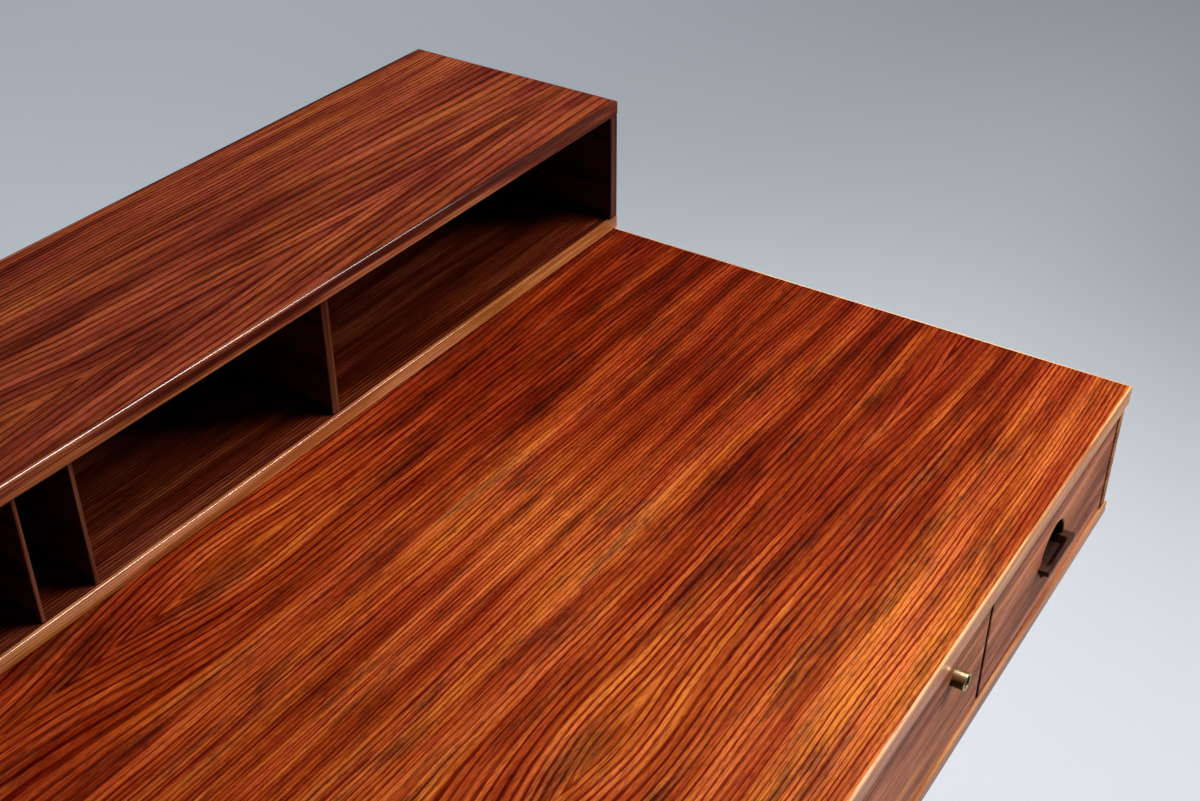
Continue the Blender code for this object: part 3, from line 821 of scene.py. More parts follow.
def loft(rings: list[np.ndarray] | np.ndarray, looped: bool = False) -> Skin:
    """Skin over rings of points: each point meets its neighbours in its ring and in the next.

    Args:
        rings: Rings of equally many points, as (rings, points, 3).
        looped: Whether the last ring meets the first; otherwise a flat face closes each end.

    Returns:
        Points as (n, 3) and faces as lists of their numbers.
    """
    rings = np.asarray(rings)
    count, size = rings.shape[:2]
    number = np.arange(count * size).reshape(count, size)
    near = number if looped else number[:-1]
    far = np.roll(number, -1, 0) if looped else number[1:]
    quads = np.stack([near, np.roll(near, -1, 1), np.roll(far, -1, 1), far], -1).reshape(-1, 4)
    faces = quads.tolist()
    if not looped:
        faces += [number[0, ::-1].tolist(), number[-1].tolist()]
    return rings.reshape(-1, 3), faces


def join_skins(skins: list[Skin]) -> Skin:
    """Several skins as one, with their faces renumbered.

    Args:
        skins: The skins.

    Returns:
        All points and faces.
    """
    starts = np.cumsum([0] + [len(points) for points, _ in skins])
    faces = [
        [int(start) + corner for corner in face]
        for start, (_, own) in zip(starts, skins)
        for face in own
    ]
    return np.concatenate([points for points, _ in skins]), faces


def level_ring(flat: np.ndarray, centre: Vector, z: float) -> np.ndarray:
    """An outline in x and y about a centre, as points at one height."""
    return np.column_stack([flat + centre.xy, np.full(len(flat), z)])


def facing_ring(flat: np.ndarray, centre: Vector, y: float | np.ndarray) -> np.ndarray:
    """An outline in x and z about a centre, as points at one depth or at a depth each."""
    depth = np.broadcast_to(y, len(flat))
    return np.column_stack([flat[:, 0] + centre.x, depth, flat[:, 1] + centre.z])


def unit_circle(around: int) -> np.ndarray:
    """Points at even angles on a circle of radius 1."""
    turn = np.linspace(0.0, 2 * math.pi, around, endpoint=False)
    return np.column_stack([np.cos(turn), np.sin(turn)])


def smooth_step(value: np.ndarray) -> np.ndarray:
    """An even S between 0 and 1."""
    held = np.clip(value, 0.0, 1.0)
    return held * held * (3 - 2 * held)


def quarter(steps: int) -> tuple[np.ndarray, np.ndarray]:
    """A quarter round as (inset, rise), from (1, 0) to (0, 1) of its radius."""
    turn = np.linspace(0.0, math.pi / 2, steps + 1)
    return 1.0 - np.sin(turn), 1.0 - np.cos(turn)


def rounded_outline(half_a: float, half_b: float, radius: float, steps: int) -> np.ndarray:
    """A rectangle with round corners: quarter circles about four centres, joined by lines.

    Args:
        half_a: Half its width.
        half_b: Half its height.
        radius: Corner radius, 0 for corners that are points.
        steps: Points less one in each corner.

    Returns:
        Array of shape (4 * (steps + 1), 2), anticlockwise.
    """
    turn = np.linspace(0.0, math.pi / 2, steps + 1)
    angle = np.arange(4)[:, None] * math.pi / 2 + turn
    sign_a = np.array([1, -1, -1, 1])[:, None]
    sign_b = np.array([1, 1, -1, -1])[:, None]
    a = sign_a * (half_a - radius) + radius * np.cos(angle)
    b = sign_b * (half_b - radius) + radius * np.sin(angle)
    return np.stack([a, b], -1).reshape(-1, 2)


def rounded_board(low: Vector, high: Vector, arris: float, steps: int = 4) -> Skin:
    """A board with rounded arrises: its outline, drawn in by a quarter round below and above.

    Args:
        low: Its lowest corner.
        high: Its highest corner.
        arris: Radius of every edge.
        steps: Facets in each rounding.

    Returns:
        Points and faces.
    """
    inset, rise = quarter(steps)
    insets = np.concatenate([inset, inset[::-1]]) * arris
    heights = np.concatenate([low.z + rise * arris, high.z - rise[::-1] * arris])
    middle = (low + high) / 2
    half = (high - low) / 2
    rings = [
        level_ring(rounded_outline(half.x - i, half.y - i, arris - i, steps), middle, z)
        for i, z in zip(insets, heights)
    ]
    return loft(rings)


def closed_mesh(name: str, skin: Skin) -> bpy.types.Mesh:
    """A mesh from a closed skin, without double points, its faces turned outwards.

    Args:
        name: The mesh's name.
        skin: Its points and faces.

    Returns:
        The mesh.
    """
    points, faces = skin
    mesh = bpy.data.meshes.new(name)
    mesh.from_pydata(points.tolist(), [], faces)
    work = bmesh.new()
    work.from_mesh(mesh)
    bmesh.ops.remove_doubles(work, verts=work.verts, dist=WELD)
    bmesh.ops.dissolve_degenerate(work, edges=work.edges, dist=WELD)
    bmesh.ops.recalc_face_normals(work, faces=work.faces)
    work.to_mesh(mesh)
    work.free()
    return mesh


def cut_out(mesh: bpy.types.Mesh, holes: list[Skin]) -> bpy.types.Mesh:
    """Take the volumes of closed skins out of a mesh.

    Args:
        mesh: The mesh to cut.
        holes: The skins, apart from each other.

    Returns:
        What is left.
    """
    blank = bpy.data.objects.new("blank", mesh)
    tool = bpy.data.objects.new("tool", closed_mesh("tool", join_skins(holes)))
    for thing in (blank, tool):
        bpy.context.scene.collection.objects.link(thing)
    cut = blank.modifiers.new("cut", "BOOLEAN")
    cut.operation = "DIFFERENCE"
    cut.solver = "EXACT"
    cut.object = tool
    graph = bpy.context.evaluated_depsgraph_get()
    left = bpy.data.meshes.new_from_object(blank.evaluated_get(graph))
    left.name = mesh.name
    for thing in (blank, tool):
        bpy.data.objects.remove(thing)
    return left


def add_piece(
    name: str,
    skin: Skin,
    finish: Finish,
    body: str,
    stands_for: tuple[str, ...] = (),
    holes: list[Skin] | None = None,
) -> None:
    """Make a piece of the object from a closed skin.

    Args:
        name: The piece's name.
        skin: Its points and faces.
        finish: Its finish.
        body: The body that it rides on.
        stands_for: CAD nodes that it replaces.
        holes: Closed skins to cut out of it.
    """
    mesh = closed_mesh(name, skin)
    if holes:
        mesh = cut_out(mesh, holes)
    mesh.materials.clear()
    mesh.materials.append(material_of(finish))
    mesh.shade_smooth()
    mesh.set_sharp_from_angle(angle=SMOOTH_ANGLE)
    piece = bpy.data.objects.new(name, mesh)
    bpy.context.scene.collection.objects.link(piece)
    weighted = piece.modifiers.new("flat_faces_stay_flat", "WEIGHTED_NORMAL")
    weighted.keep_sharp = True
    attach(piece, body)
    if stands_for:
        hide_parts(*stands_for)
    LOG.info("piece %s on %s", name, body)


def dress_node(node: str, finish: Finish) -> None:
    """Give a CAD node that stays in view its finish.

    Args:
        node: The node.
        finish: The finish.
    """
    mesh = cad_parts[node].data
    mesh.materials.clear()
    mesh.materials.append(material_of(finish))
    LOG.info("node %s in %s", node, finish.name)


@dataclass
class Board:
    """A plain board in the place of a CAD node."""

    node: str
    body: str
    finish: Rosewood
    slot: Slot
    arris: float = 0.0010

    def build(self) -> None:
        """Make the board with softly rounded arrises."""
        skin = rounded_board(*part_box(self.node), self.arris)
        add_piece(f"{self.node}_board", skin, self.finish, self.body, (self.node,))


@dataclass
class LippedBoard:
    """A veneered panel with solid lippings round it, in the place of a CAD node."""

    node: str
    body: str
    veneer: Rosewood
    arris: float
    slot: Slot = Slot.TOP
    low_arris: float = 0.0008
    lipping: float = 0.0032
    seam: float = 0.00012
    seam_steps: int = 2
    steps: int = 6
    long_wood: Rosewood = LONG_LIPPING
    end_wood: Rosewood = END_LIPPING
    under_veneer: Rosewood | None = None
    under_leaf: float = 0.0010
    mortised_for: tuple[str, ...] = ()  # bolts that rise into the board
    bolt_travel: float = 0.008
    mortise_room: float = 0.001
    rebate_up: int = 0  # 1 or -1: which way the hinge's knuckles lie at the back edge
    back_width: float = 0.008
    leaf_depth: float = 0.0015
    leaf_reach: float = 0.0122
    knuckle_depth: float = 0.0024
    knuckle_reach: float = 0.00315
    hinge_half: float = 0.7503

    def build(self) -> None:
        """Make the panel and its four lippings."""
        low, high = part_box(self.node)
        back = self.back_width if self.rebate_up else self.lipping
        panel_low = Vector((low.x + self.lipping, low.y + self.lipping, low.z))
        panel_high = Vector((high.x - self.lipping, high.y - back, high.z))
        if self.under_veneer:
            leaf_high = Vector((panel_high.x, panel_high.y, low.z + self.under_leaf))
            leaf = rounded_board(panel_low, leaf_high, self.seam, self.seam_steps)
            self._add("under_leaf", leaf, self.under_veneer)
            panel_low.z = leaf_high.z
        panel = rounded_board(panel_low, panel_high, self.seam, self.seam_steps)
        self._add("panel", panel, self.veneer, [self._mortise(bolt) for bolt in self.mortised_for])
        for edge in (Edge.FRONT, Edge.LEFT, Edge.RIGHT):
            wood = self.long_wood if edge is Edge.FRONT else self.end_wood
            self._add(f"lipping_{edge.value}", self._strip(edge, low, high), wood)
        strip = self._back_strip(low, high, back)
        self._add(f"lipping_{Edge.BACK.value}", strip, self.long_wood)

    def _add(self, word: str, skin: Skin, wood: Rosewood, holes: list[Skin] | None = None) -> None:
        """Add one of its pieces."""
        add_piece(f"{self.node}_{word}", skin, wood, self.body, (self.node,), holes)

    def _mortise(self, bolt: str) -> Skin:
        """The room that a risen bolt needs in the board, reaching out below it.

        Args:
            bolt: The bolt's CAD node.

        Returns:
            Points and faces.
        """
        low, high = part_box(bolt)
        room = Vector((self.mortise_room,) * 3)
        risen = high + room + Vector((0, 0, self.bolt_travel))
        return rounded_board(low - room, risen, SHARP, 1)

    def _profile(self, low_z: float, high_z: float) -> np.ndarray:
        """The lipping's section: flat inside, two quarter rounds outside.

        Args:
            low_z: Height of its lower side.
            high_z: Height of its upper side.

        Returns:
            Points as (inwards, height).
        """
        inset, rise = quarter(self.steps)
        low_round = np.column_stack([inset * self.low_arris, low_z + rise * self.low_arris])
        high_round = np.column_stack([inset[::-1] * self.arris, high_z - rise[::-1] * self.arris])
        inner_low = [[self.lipping, low_z]]
        inner_high = [[self.lipping, high_z]]
        return np.concatenate([inner_low, low_round, high_round, inner_high])

    def _strip(self, edge: Edge, low: Vector, high: Vector) -> Skin:
        """Carry the section along an edge; at a mitred end a point stops its own inset early.

        Args:
            edge: Which edge.
            low: The board's lowest corner.
            high: The board's highest corner.

        Returns:
            Points and faces.
        """
        inwards, height = self._profile(low.z, high.z).T
        if edge is Edge.FRONT:
            ends = (low.x + inwards, high.x - inwards)
            return loft([np.column_stack([x, low.y + inwards, height]) for x in ends])
        x = low.x + inwards if edge is Edge.LEFT else high.x - inwards
        ends = (low.y + inwards, np.full_like(inwards, high.y))
        return loft([np.column_stack([x, y, height]) for y in ends])

    def _back_strip(self, low: Vector, high: Vector, width: float) -> Skin:
        """The back edge, stepped in for the hinge's leaf and knuckles along the hinge.

        Args:
            low: The board's lowest corner.
            high: The board's highest corner.
            width: How far the strip reaches in.

        Returns:
            Points and faces.
        """
        way = -1 if self.rebate_up < 0 else 1
        hinged, plain = (high.z, low.z) if way > 0 else (low.z, high.z)
        leaf_z = hinged - way * self.leaf_reach
        knuckle_z = hinged - way * self.knuckle_reach
        heights = np.array([plain, plain, leaf_z, leaf_z, knuckle_z, knuckle_z, hinged, hinged])
        leaf = self.leaf_depth * abs(self.rebate_up)
        knuckle = self.knuckle_depth * abs(self.rebate_up)
        stepped = np.array([width, 0, 0, leaf, leaf, knuckle, knuckle, width])
        full = np.array([width, 0, 0, 0, 0, 0, 0, width])
        hinge = (-self.hinge_half, self.hinge_half)
        stations = (
            (low.x + self.lipping, full),
            (hinge[0], full),
            (hinge[0], stepped),
            (hinge[1], stepped),
            (hinge[1], full),
            (high.x - self.lipping, full),
        )
        rings = [
            np.column_stack([np.full_like(heights, x), high.y - inwards, heights])
            for x, inwards in stations
        ]
        return loft(rings)


@dataclass
class Upright:
    """An end or divider of the pigeonholes: board darkened with painted shade, front lipping, outer
    leaf on an end.
    """

    node: str
    body: str
    outer_way: int = 0  # 1 or -1: on which side the outer leaf lies, 0 for none
    outer_share: float = 0.6
    lipping: float = 0.0025
    arris: float = 0.0008
    steps: int = 3

    def build(self) -> None:
        """Make the board, the lipping and, on an end, the outer leaf."""
        low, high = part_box(self.node)
        front = low.y + self.lipping
        leaf = (high.x - low.x) * self.outer_share
        left = low.x + leaf * (self.outer_way < 0)
        right = high.x - leaf * (self.outer_way > 0)
        self._add("board", (left, front, low.z), (right, *high.yz), SHADED_DIVIDER_VENEER, SHARP)
        self._add("lipping", low, (high.x, front, high.z), UPRIGHT_EDGE, self.arris)
        if self.outer_way:
            start, end = (right, high.x) if self.outer_way > 0 else (low.x, left)
            self._add("outer_leaf", (start, front, low.z), (end, *high.yz), HUTCH_SIDE, SHARP)

    def _add(
        self, word: str, low: Vector | Triple, high: Vector | Triple, wood: Rosewood, arris: float
    ) -> None:
        """Add one of its pieces between two corners."""
        skin = rounded_board(Vector(low), Vector(high), arris, self.steps)
        add_piece(f"{self.node}_{word}", skin, wood, self.body, (self.node,))


@dataclass
class Pigeonholes:
    """The unit on the back of the desk: top, floor, ends, back and dividers."""

    body: str = "hutch"
    slot_dividers: int = 6
    slot_lipping: float = 0.0020
    top_arris: float = 0.0022
    floor_arris: float = 0.0010
    floor_low_arris: float = 0.0022
    back_arris: float = 0.0006

    def build(self) -> None:
        """Make every board of the unit."""
        LippedBoard(
            "hutch_top",
            self.body,
            HUTCH_VENEER,
            self.top_arris,
            long_wood=HUTCH_EDGE,
            end_wood=HUTCH_EDGE_ENDS,
        ).build()
        LippedBoard(
            "hutch_floor",
            self.body,
            FLOOR_VENEER,
            self.floor_arris,
            low_arris=self.floor_low_arris,
            long_wood=TAN_EDGE,
            end_wood=TAN_EDGE_ENDS,
            under_veneer=UNDER_VENEER,
            rebate_up=-1,
        ).build()
        for word, way in (("left", -1), ("right", 1)):
            Upright(f"hutch_end_{word}", self.body, way).build()
            Upright(f"hutch_divider_{word}", self.body).build()
        Board("hutch_back", self.body, HUTCH_BACK, Slot.TOP, self.back_arris).build()
        for number in range(1, self.slot_dividers + 1):
            Upright(f"slot_divider_{number}", self.body, lipping=self.slot_lipping).build()


@dataclass
class Case:
    """The shallow drawer case: top, bottom, ends, back and the frame inside."""

    body: str = "desk"
    top_arris: float = 0.0014
    top_lipping: float = 0.0022
    bottom_arris: float = 0.0012

    def build(self) -> None:
        """Make the boards that show, and dress the frame inside."""
        LippedBoard(
            "desk_top",
            self.body,
            TOP_VENEER,
            self.top_arris,
            lipping=self.top_lipping,
            mortised_for=("lock_bolt_left", "lock_bolt_right"),
            rebate_up=1,
        ).build()
        LippedBoard(
            "case_bottom",
            self.body,
            BOTTOM_VENEER,
            self.bottom_arris,
            Slot.FACE,
            long_wood=BASE_LIPPING,
            end_wood=BASE_LIPPING_ENDS,
        ).build()
        Board("back_panel", self.body, FACE_VENEER, Slot.FACE).build()
        for word in ("left", "right"):
            Board(f"end_panel_{word}", self.body, CASE_VENEER, Slot.FACE).build()
        for word in ("left", "centre", "right"):
            dress_node(f"partition_{word}", PARTITION_WOOD)
        dress_node("drawer_stop_rail", CROSS_WOOD)


@dataclass
class LegFrames:
    """Four tapered legs, the two rails across and the stretcher."""

    body: str = "desk"
    head: tuple[float, float] = (0.036, 0.044)
    foot: tuple[float, float] = (0.024, 0.026)
    rail_height: float = 0.048
    rail_arris: float = 0.0015
    corner: float = 0.004
    foot_arris: float = 0.0015
    foot_steps: int = 3
    steps: int = 6

    def build(self) -> None:
        """Make legs, rails and stretcher."""
        for place in ("front_left", "front_right", "rear_left", "rear_right"):
            node = f"leg_{place}"
            add_piece(f"{node}_post", self._leg(node), LEG_WOOD, self.body, (node,))
        for word in ("left", "right"):
            node = f"cross_rail_{word}"
            Board(node, self.body, RAIL_WOOD, Slot.DARK, self.rail_arris).build()
        Board("stretcher", self.body, STRETCHER_WOOD, Slot.DARK, self.rail_arris).build()

    def _leg(self, node: str) -> Skin:
        """A leg: rounded rectangles, equal down to the rail's lower edge and shrinking below it.

        Args:
            node: The CAD leg whose place it takes.

        Returns:
            Points and faces.
        """
        low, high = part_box(node)
        shoulder = high.z - self.rail_height
        inset, rise = quarter(self.foot_steps)
        heights = np.concatenate([rise * self.foot_arris, [shoulder, high.z]])
        insets = np.concatenate([inset * self.foot_arris, [0.0, 0.0]])
        share = np.clip(heights / shoulder, 0.0, 1.0)
        half_x = (self.foot[0] + (self.head[0] - self.foot[0]) * share) / 2 - insets
        half_y = (self.foot[1] + (self.head[1] - self.foot[1]) * share) / 2 - insets
        taper = self.foot[0] / self.head[0]
        corner = self.corner * (taper + (1 - taper) * share)
        middle = (low + high) / 2
        rings = [
            level_ring(rounded_outline(a, b, r, self.steps), middle, z)
            for a, b, r, z in zip(half_x, half_y, corner, heights)
        ]
        return loft(rings)


@dataclass
class Hinge:
    """The continuous brass hinge, with a row of slotted screws in each leaf."""

    screws: int = 20
    pitch: float = 1.500 / 21
    row_from_edge: float = 0.0043
    leaf_proud: float = 0.001  # how far the desk's leaf stands out from the back panel
    head_radius: float = 0.0026
    head_rise: float = 0.00035
    head_profile: Pairs = (  # shares of radius and rise, from the leaf outwards
        (1.0, -0.6), (1.0, 0.1), (0.9, 0.55), (0.7, 0.85), (0.42, 0.97), (0.16, 1.0),
    )
    slot_half: float = 0.00088
    slot_deep: float = 0.0003
    around: int = 20

    def build(self) -> None:
        """Dress the leaves and the pin, and add the screws."""
        for node in ("hinge_leaf_desk", "hinge_leaf_hutch", "hinge_pin"):
            dress_node(node, HINGE_BRASS)
        low_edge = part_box("hinge_leaf_desk")[0].z
        high_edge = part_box("hinge_leaf_hutch")[1].z
        desk_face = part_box("back_panel")[1].y + self.leaf_proud
        self._add_screws("desk", low_edge + self.row_from_edge, desk_face)
        self._add_screws("hutch", high_edge - self.row_from_edge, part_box("hutch_back")[1].y)

    def _add_screws(self, body: str, height: float, face: float) -> None:
        """A row of low domed heads: circles that shrink as they rise, a slot pressed across them.

        Args:
            body: The body whose leaf carries them.
            height: Height of the row.
            face: Place of the leaf's outer face.
        """
        reach, rise = np.array(self.head_profile).T[:, :, None]
        circle = unit_circle(self.around)
        x = self.head_radius * reach * circle[:, 0]
        z = self.head_radius * reach * circle[:, 1]
        y = np.repeat(self.head_rise * rise, self.around, 1)
        in_slot = (np.abs(z) < self.slot_half) & (rise > 0)
        y = np.where(in_slot, y - self.slot_deep, y)
        places = (np.arange(self.screws) - (self.screws - 1) / 2) * self.pitch
        head = np.stack([x, face + y, height + z], -1)
        skins = [loft(head + np.array([place, 0.0, 0.0])) for place in places]
        add_piece(f"hinge_screws_{body}", join_skins(skins), HINGE_BRASS, body)


@dataclass
class Pull:
    """The scooped bar across a drawer's hole."""

    body: str
    half: float = 0.031
    thick: float = 0.0048
    arris: float = 0.0009
    arris_points: int = 6
    half_points: int = 34  # along half of the bar
    section_points: int = 30  # on each side of its section
    belly_deep: float = 0.0037
    belly_half: float = 0.0248
    belly_round: float = 0.004
    sag_from: float = 0.0010
    sag_round: float = 0.0035
    end_wall: float = 0.0085
    scoop_from: float = 0.0022
    scoop_deep: float = 0.0060
    scoop_round: float = 0.0055

    def build(self) -> None:
        """Make the bar in the place of the CAD pull."""
        node = f"{self.body}_pull"
        add_piece(f"{self.body}_bar", self._bar(node), PULL_WOOD, self.body, (node,))

    def _bar(self, node: str) -> Skin:
        """The bar: its closed section, front lip, scoop and belly, carried along X.

        The upper side dips by a smooth step behind the lip, times a smooth step in from each
        end wall. The lower side bulges the same way. Every outer edge is a quarter round.

        Args:
            node: The CAD pull.

        Returns:
            Points and faces.
        """
        low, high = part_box(node)
        middle = (low.x + high.x) / 2
        depth = high.y - low.y
        arris = self.arris
        straight = self.half - arris
        turn = np.linspace(0.0, math.pi / 2, self.arris_points)
        ends = self.half - arris * (1 - np.sin(turn))
        inner = np.linspace(0.0, straight, self.half_points)[:-1]
        positive = np.concatenate([inner, ends])
        stations = np.concatenate([-positive[:0:-1], positive])
        reach = np.abs(stations)
        beyond = np.maximum(reach - straight, 0) / arris
        shrink = arris * (1 - np.sqrt(np.maximum(1 - beyond**2, 0.0)))[:, None]
        scoop = smooth_step((self.half - self.end_wall - reach) / self.scoop_round)[:, None]
        bulge = smooth_step((self.belly_half - reach) / self.belly_round)[:, None]

        y_top = arris + np.linspace(0.0, 1.0, self.section_points) * (depth - 1.5 * arris)
        y_low = y_top[::-1]
        dip = smooth_step((y_top - self.scoop_from) / self.scoop_round) * self.scoop_deep
        sag = smooth_step((y_low - self.sag_from) / self.sag_round) * self.belly_deep
        nose_y = arris * (1 - np.sin(turn[1:-1]))
        nose_z = arris * (1 - np.cos(turn[1:-1]))
        level = np.zeros_like(y_top)
        zero = np.zeros_like(nose_y)
        thick = self.thick
        y = np.concatenate([y_top, y_low, nose_y, nose_y[::-1]])
        base = np.concatenate([level, level - thick, nose_z - thick, -nose_z[::-1]])
        dips = np.concatenate([dip, level, zero, zero])
        sags = np.concatenate([level, sag, zero, zero])
        upper = np.concatenate([level + 1, level - 1, zero - 1, zero + 1])
        x = np.repeat(stations[:, None], len(base), 1)
        y = depth / 2 + (y - depth / 2) * (1 - 2 * shrink / depth)
        z = base - dips * scoop - sags * bulge - upper * shrink
        return loft(np.stack([middle + x, low.y + y, high.z + z], -1))


@dataclass
class Drawer:
    """One drawer: face with a round hole, pull across it, and the box behind."""

    word: str
    split_left: bool  # whether it meets another drawer there
    split_right: bool
    lock: str | None = None
    lock_room: float = 0.0003
    lock_around: int = 64
    hole_past: float = 0.001  # how far the cutter for the lock reaches past the face
    split_trim: float = 0.0019
    gap_shade_width: float = 0.0005
    lining: float = 0.0008
    lining_set_in: float = 0.0007
    lining_around: int = 96
    hole_radius: float = 0.026
    rim: float = 0.0009
    rim_steps: int = 4
    long_steps: int = 40
    short_steps: int = 16

    @property
    def body(self) -> str:
        """The body of this drawer."""
        return f"drawer_{self.word}"

    def build(self) -> None:
        """Make the face and the pull, and dress the box."""
        face = f"{self.body}_front"
        holes = [self._lock_hole(face)] if self.lock else []
        skin = self._face(face)
        add_piece(f"{self.body}_face", skin, FACE_VENEER, self.body, (face,), holes)
        Pull(self.body).build()
        # The hole's lining is painted shade of its wall.
        add_piece(f"{self.body}_hole", self._hole_lining(face), PAINTED_SHADE_WOOD, self.body)
        self._add_gap_shades(face)
        for part in ("side_left", "side_right"):
            dress_node(f"{self.body}_{part}", SIDE_WOOD)
        for part in ("back", "bottom"):
            dress_node(f"{self.body}_{part}", CROSS_WOOD)

    def _outline(self, half: np.ndarray) -> np.ndarray:
        """A rectangle whose points lie at even angles from its middle along each side.

        Args:
            half: Half its width and height.

        Returns:
            Points as (x, z) from its middle.
        """
        corner = math.atan2(half[1], half[0])
        up = np.linspace(-corner, corner, self.short_steps, endpoint=False)
        over = np.linspace(corner, math.pi - corner, self.long_steps, endpoint=False)
        angle = np.concatenate([up, over, up + math.pi, over + math.pi])
        way = np.column_stack([np.cos(angle), np.sin(angle)])
        reach = np.min(half / np.maximum(np.abs(way), 1e-9), axis=1, keepdims=True)
        return reach * way

    def _face(self, node: str) -> Skin:
        """The face: rings from the hole's rim through the hole, round the back and the edge.

        Each outline point keeps its direction from the middle, on the rectangle and on the
        circle; rims and edges are quarter rounds. Where drawers meet, the rectangle is trimmed.

        Args:
            node: The CAD drawer face.

        Returns:
            Points and faces.
        """
        low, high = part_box(node)
        middle = (low + high) / 2
        size = np.array([high.x - low.x, high.z - low.z]) / 2
        outline = self._outline(size)
        circle = outline / np.linalg.norm(outline, axis=1, keepdims=True)
        trim_low = self.split_trim * self.split_left
        trim_high = self.split_trim * self.split_right
        squeeze = np.array([1 - (trim_low + trim_high) / (2 * size[0]), 1.0])
        trimmed = outline * squeeze + np.array([(trim_low - trim_high) / 2, 0.0])
        inset, rise = quarter(self.rim_steps)
        rounding = list(zip(inset * self.rim, rise * self.rim))
        rings = [(circle * (self.hole_radius + i), low.y + r) for i, r in rounding]
        rings += [(circle * (self.hole_radius + i), high.y - r) for i, r in rounding[::-1]]
        rings += [(trimmed * (size - i) / size, high.y - r) for i, r in rounding]
        rings += [(trimmed * (size - i) / size, low.y + r) for i, r in rounding[::-1]]
        return loft([facing_ring(flat, middle, y) for flat, y in rings], looped=True)

    def _lock_hole(self, node: str) -> Skin:
        """A cylinder about the lock's barrel, from before the face to behind it.

        Args:
            node: The CAD drawer face.

        Returns:
            Points and faces.
        """
        low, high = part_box(f"lock_barrel_{self.lock}")
        circle = unit_circle(self.lock_around) * ((high.x - low.x) / 2 + self.lock_room)
        front, back = (corner.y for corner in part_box(node))
        ends = (front - self.hole_past, back + self.hole_past)
        return loft([facing_ring(circle, (low + high) / 2, y) for y in ends])

    def _add_gap_shades(self, node: str) -> None:
        """Thin strips on the ends of the face that meet another drawer, near black as painted shade
        in the gap.

        Args:
            node: The CAD drawer face.
        """
        low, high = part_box(node)
        left = low.x + self.split_trim
        right = high.x - self.split_trim
        deep = Vector((0.0, self.lining_set_in, self.lining_set_in))
        strips = (
            ("left", self.split_left, left - self.gap_shade_width, left),
            ("right", self.split_right, right, right + self.gap_shade_width),
        )
        for word, split, start, end in strips:
            if split:
                near = Vector((start, *low.yz)) + deep
                far = Vector((end, *high.yz)) - deep
                skin = rounded_board(near, far, SHARP, 1)
                # painted shade in the gap between two drawers
                add_piece(f"{self.body}_edge_{word}", skin, PAINTED_SHADE_WOOD, self.body)

    def _hole_lining(self, node: str) -> Skin:
        """A thin tube in the hole, near black as painted shade of the hole's wall: two circles in
        front and two behind, joined in a loop.

        Args:
            node: The CAD drawer face.

        Returns:
            Points and faces.
        """
        low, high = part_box(node)
        outer = unit_circle(self.lining_around) * self.hole_radius
        inner = unit_circle(self.lining_around) * (self.hole_radius - self.lining)
        front = low.y + self.lining_set_in
        back = high.y - self.lining_set_in
        rings = ((outer, front), (inner, front), (inner, back), (outer, back))
        return loft([facing_ring(flat, (low + high) / 2, y) for flat, y in rings], looped=True)


@dataclass
class PushLock:
    """A brass push lock: turned barrel with a keyway, and the bolt behind the face."""

    word: str
    radius: float = 0.007
    arris: float = 0.0008
    arris_steps: int = 4
    rim: float = 0.0016
    rim_drop: float = 0.0002
    sunk: float = 0.0014
    key_half_width: float = 0.0009
    key_half_height: float = 0.00375
    key_deep: float = 0.0040
    key_arris: float = 0.0003
    key_floor: float = 0.9  # keyway's size at its floor and at its mouth
    key_mouth: float = 1.12
    around: int = 64

    def build(self) -> None:
        """Make the barrel and dress the bolt."""
        node = f"lock_barrel_{self.word}"
        body = f"lock_push_{self.word}"
        add_piece(f"{node}_turned", self._barrel(node), LOCK_BRASS, body, (node,))
        dress_node(f"lock_bolt_{self.word}", LOCK_BRASS)

    def _barrel(self, node: str) -> Skin:
        """The barrel: a slot's outline, widened to circles, then carried back to the sloping tail.

        The slot is two half circles joined by lines. Each of its points keeps its number on the
        circles, which have even angles.

        Args:
            node: The CAD barrel.

        Returns:
            Points and faces.
        """
        low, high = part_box(node)
        middle = (low + high) / 2
        circle = unit_circle(self.around)
        slot = circle * self.key_half_width
        straight = self.key_half_height - self.key_half_width
        slot[:, 1] += np.sign(np.round(circle[:, 1], 9)) * straight
        face = circle * (self.radius - self.rim)
        inset, rise = quarter(self.arris_steps)
        rounding = zip(inset * self.arris, rise * self.arris)
        rings = [
            (slot * self.key_floor, self.key_deep),
            (slot, self.key_deep - self.key_arris),
            (slot, self.sunk + self.key_arris),
            (slot * self.key_mouth, self.sunk),
            (face, self.sunk),
            (face, self.rim_drop),
        ]
        rings += [(circle * (self.radius - i), r) for i, r in rounding]
        tail_y = high.y - (1 + circle[:, 1]) * self.radius
        tail = facing_ring(circle * self.radius, middle, tail_y)
        return loft([facing_ring(flat, middle, low.y + y) for flat, y in rings] + [tail])


@dataclass(frozen=True)
class Lamp:
    """A rectangular soft lamp."""

    name: str
    watts: float
    size: tuple[float, float]
    at: Triple
    towards: Triple
    spread: float = 180.0  # degrees
    lights_gloss: bool = True
    lights_matt: bool = True

    def build(self) -> None:
        """Hang the lamp and turn it to its point."""
        data = bpy.data.lights.new(self.name, "AREA")
        data.shape = "RECTANGLE"
        data.size, data.size_y = self.size
        data.energy = self.watts
        data.spread = math.radians(self.spread)
        lamp = bpy.data.objects.new(self.name, data)
        lamp.location = self.at
        way = Vector(self.towards) - Vector(self.at)
        lamp.rotation_euler = way.to_track_quat("-Z", "Y").to_euler()
        lamp.visible_glossy = self.lights_gloss
        lamp.visible_diffuse = self.lights_matt
        bpy.context.scene.collection.objects.link(lamp)


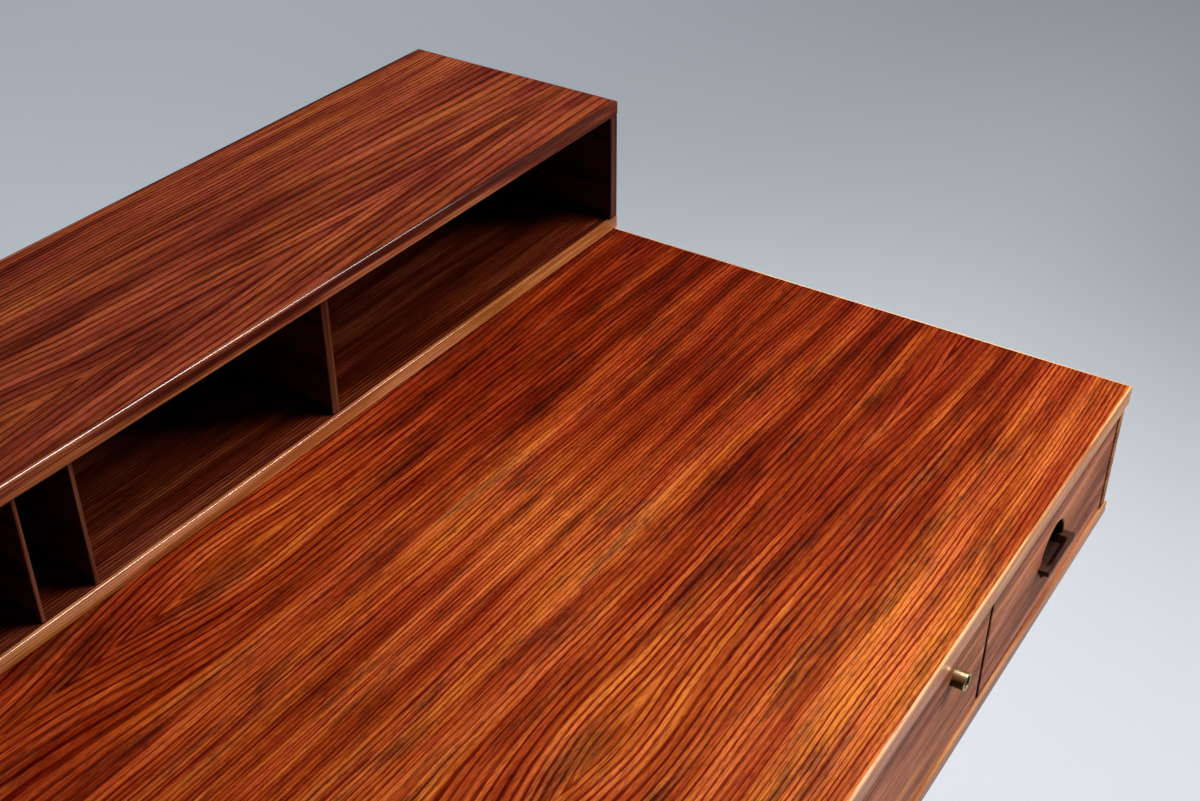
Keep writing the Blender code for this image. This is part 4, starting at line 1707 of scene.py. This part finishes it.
LAMPS = (
    Lamp("softbox_over", 55.0, (1.1, 1.0), at=(1.4, -0.8, 3.2), towards=(0.6, -0.1, 0.7)),
    Lamp(
        "softbox_right", 15.0, (1.0, 1.0), at=(2.4, -1.5, 2.2), towards=(0.4, -0.1, 0.75),
        spread=80.0, lights_gloss=False,
    ),
    Lamp(
        "softbox_gloss", 30.0, (0.6, 1.0), at=(2.25, -0.8, 3.2), towards=(0.6, -0.1, 0.7),
        lights_matt=False,
    ),
)


@dataclass
class Studio:
    """Camera, pale floor, soft lamps and world."""

    lens: float = 47.38
    sensor: float = 36.0
    camera_at: Triple = (-0.40116, -0.62335, 1.48192)
    azimuth: float = 56.687  # degrees from +Y towards +X
    elevation: float = -34.191
    roll: float = -0.108
    view_limit: float = 100.0
    floor_size: float = 40.0
    surround: Colour = (0.93, 0.96, 1.0)
    surround_strength: float = 0.05
    lamps: tuple[Lamp, ...] = LAMPS

    def build(self) -> None:
        """Set up everything that isn't the desk."""
        bpy.context.scene.view_settings.view_transform = "Standard"
        self._camera()
        self._floor()
        self._world()
        for lamp in self.lamps:
            lamp.build()

    def _camera(self) -> None:
        """The photograph's camera: forward from azimuth and elevation, then a slight roll."""
        turn, lift, roll = (math.radians(a) for a in (self.azimuth, self.elevation, self.roll))
        forward = Vector(
            (math.cos(lift) * math.sin(turn), math.cos(lift) * math.cos(turn), math.sin(lift))
        )
        right = forward.cross(Vector((0, 0, 1))).normalized()
        up = right.cross(forward)
        right_rolled = right * math.cos(roll) + up * math.sin(roll)
        up_rolled = up * math.cos(roll) - right * math.sin(roll)
        data = bpy.data.cameras.new("photo_camera")
        data.lens = self.lens
        data.sensor_width = self.sensor
        data.sensor_fit = "HORIZONTAL"
        data.clip_end = self.view_limit
        camera = bpy.data.objects.new("photo_camera", data)
        turned = Matrix((right_rolled, up_rolled, -forward)).transposed().to_4x4()
        camera.matrix_world = Matrix.Translation(self.camera_at) @ turned
        bpy.context.scene.collection.objects.link(camera)
        bpy.context.scene.camera = camera

    def _floor(self) -> None:
        """A flat pale floor, which isn't part of the object."""
        half = self.floor_size / 2
        corners = [(-half, -half, 0), (half, -half, 0), (half, half, 0), (-half, half, 0)]
        mesh = bpy.data.meshes.new("studio_floor")
        mesh.from_pydata(corners, [], [[0, 1, 2, 3]])
        floor = bpy.data.objects.new("studio_floor", mesh)
        bpy.context.scene.collection.objects.link(floor)
        mesh.materials.append(material_of(FLOOR_PAINT))

    def _world(self) -> None:
        """A dim even surround that fills the shadows."""
        world = bpy.data.worlds.new("studio_world")
        bpy.context.scene.world = world
        sheet = NodeSheet(world)
        sockets = {"Color": self.surround, "Strength": self.surround_strength}
        shader = sheet.node("ShaderNodeBackground", sockets=sockets)
        sheet.node("ShaderNodeOutputWorld", sockets={"Surface": shader})


def main() -> None:
    """Build the studio, then the desk piece by piece."""
    logging.basicConfig(level=logging.INFO, format="%(name)s: %(message)s")
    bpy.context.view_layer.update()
    Studio().build()
    Case().build()
    LegFrames().build()
    Pigeonholes().build()
    Hinge().build()
    locks = {"mid_left": "left", "mid_right": "right"}
    for word in ("end_left", "mid_left", "mid_right", "end_right"):
        Drawer(word, word != "end_left", word != "end_right", locks.get(word)).build()
    for word in ("left", "right"):
        PushLock(word).build()


if __name__ == "__main__":
    main()
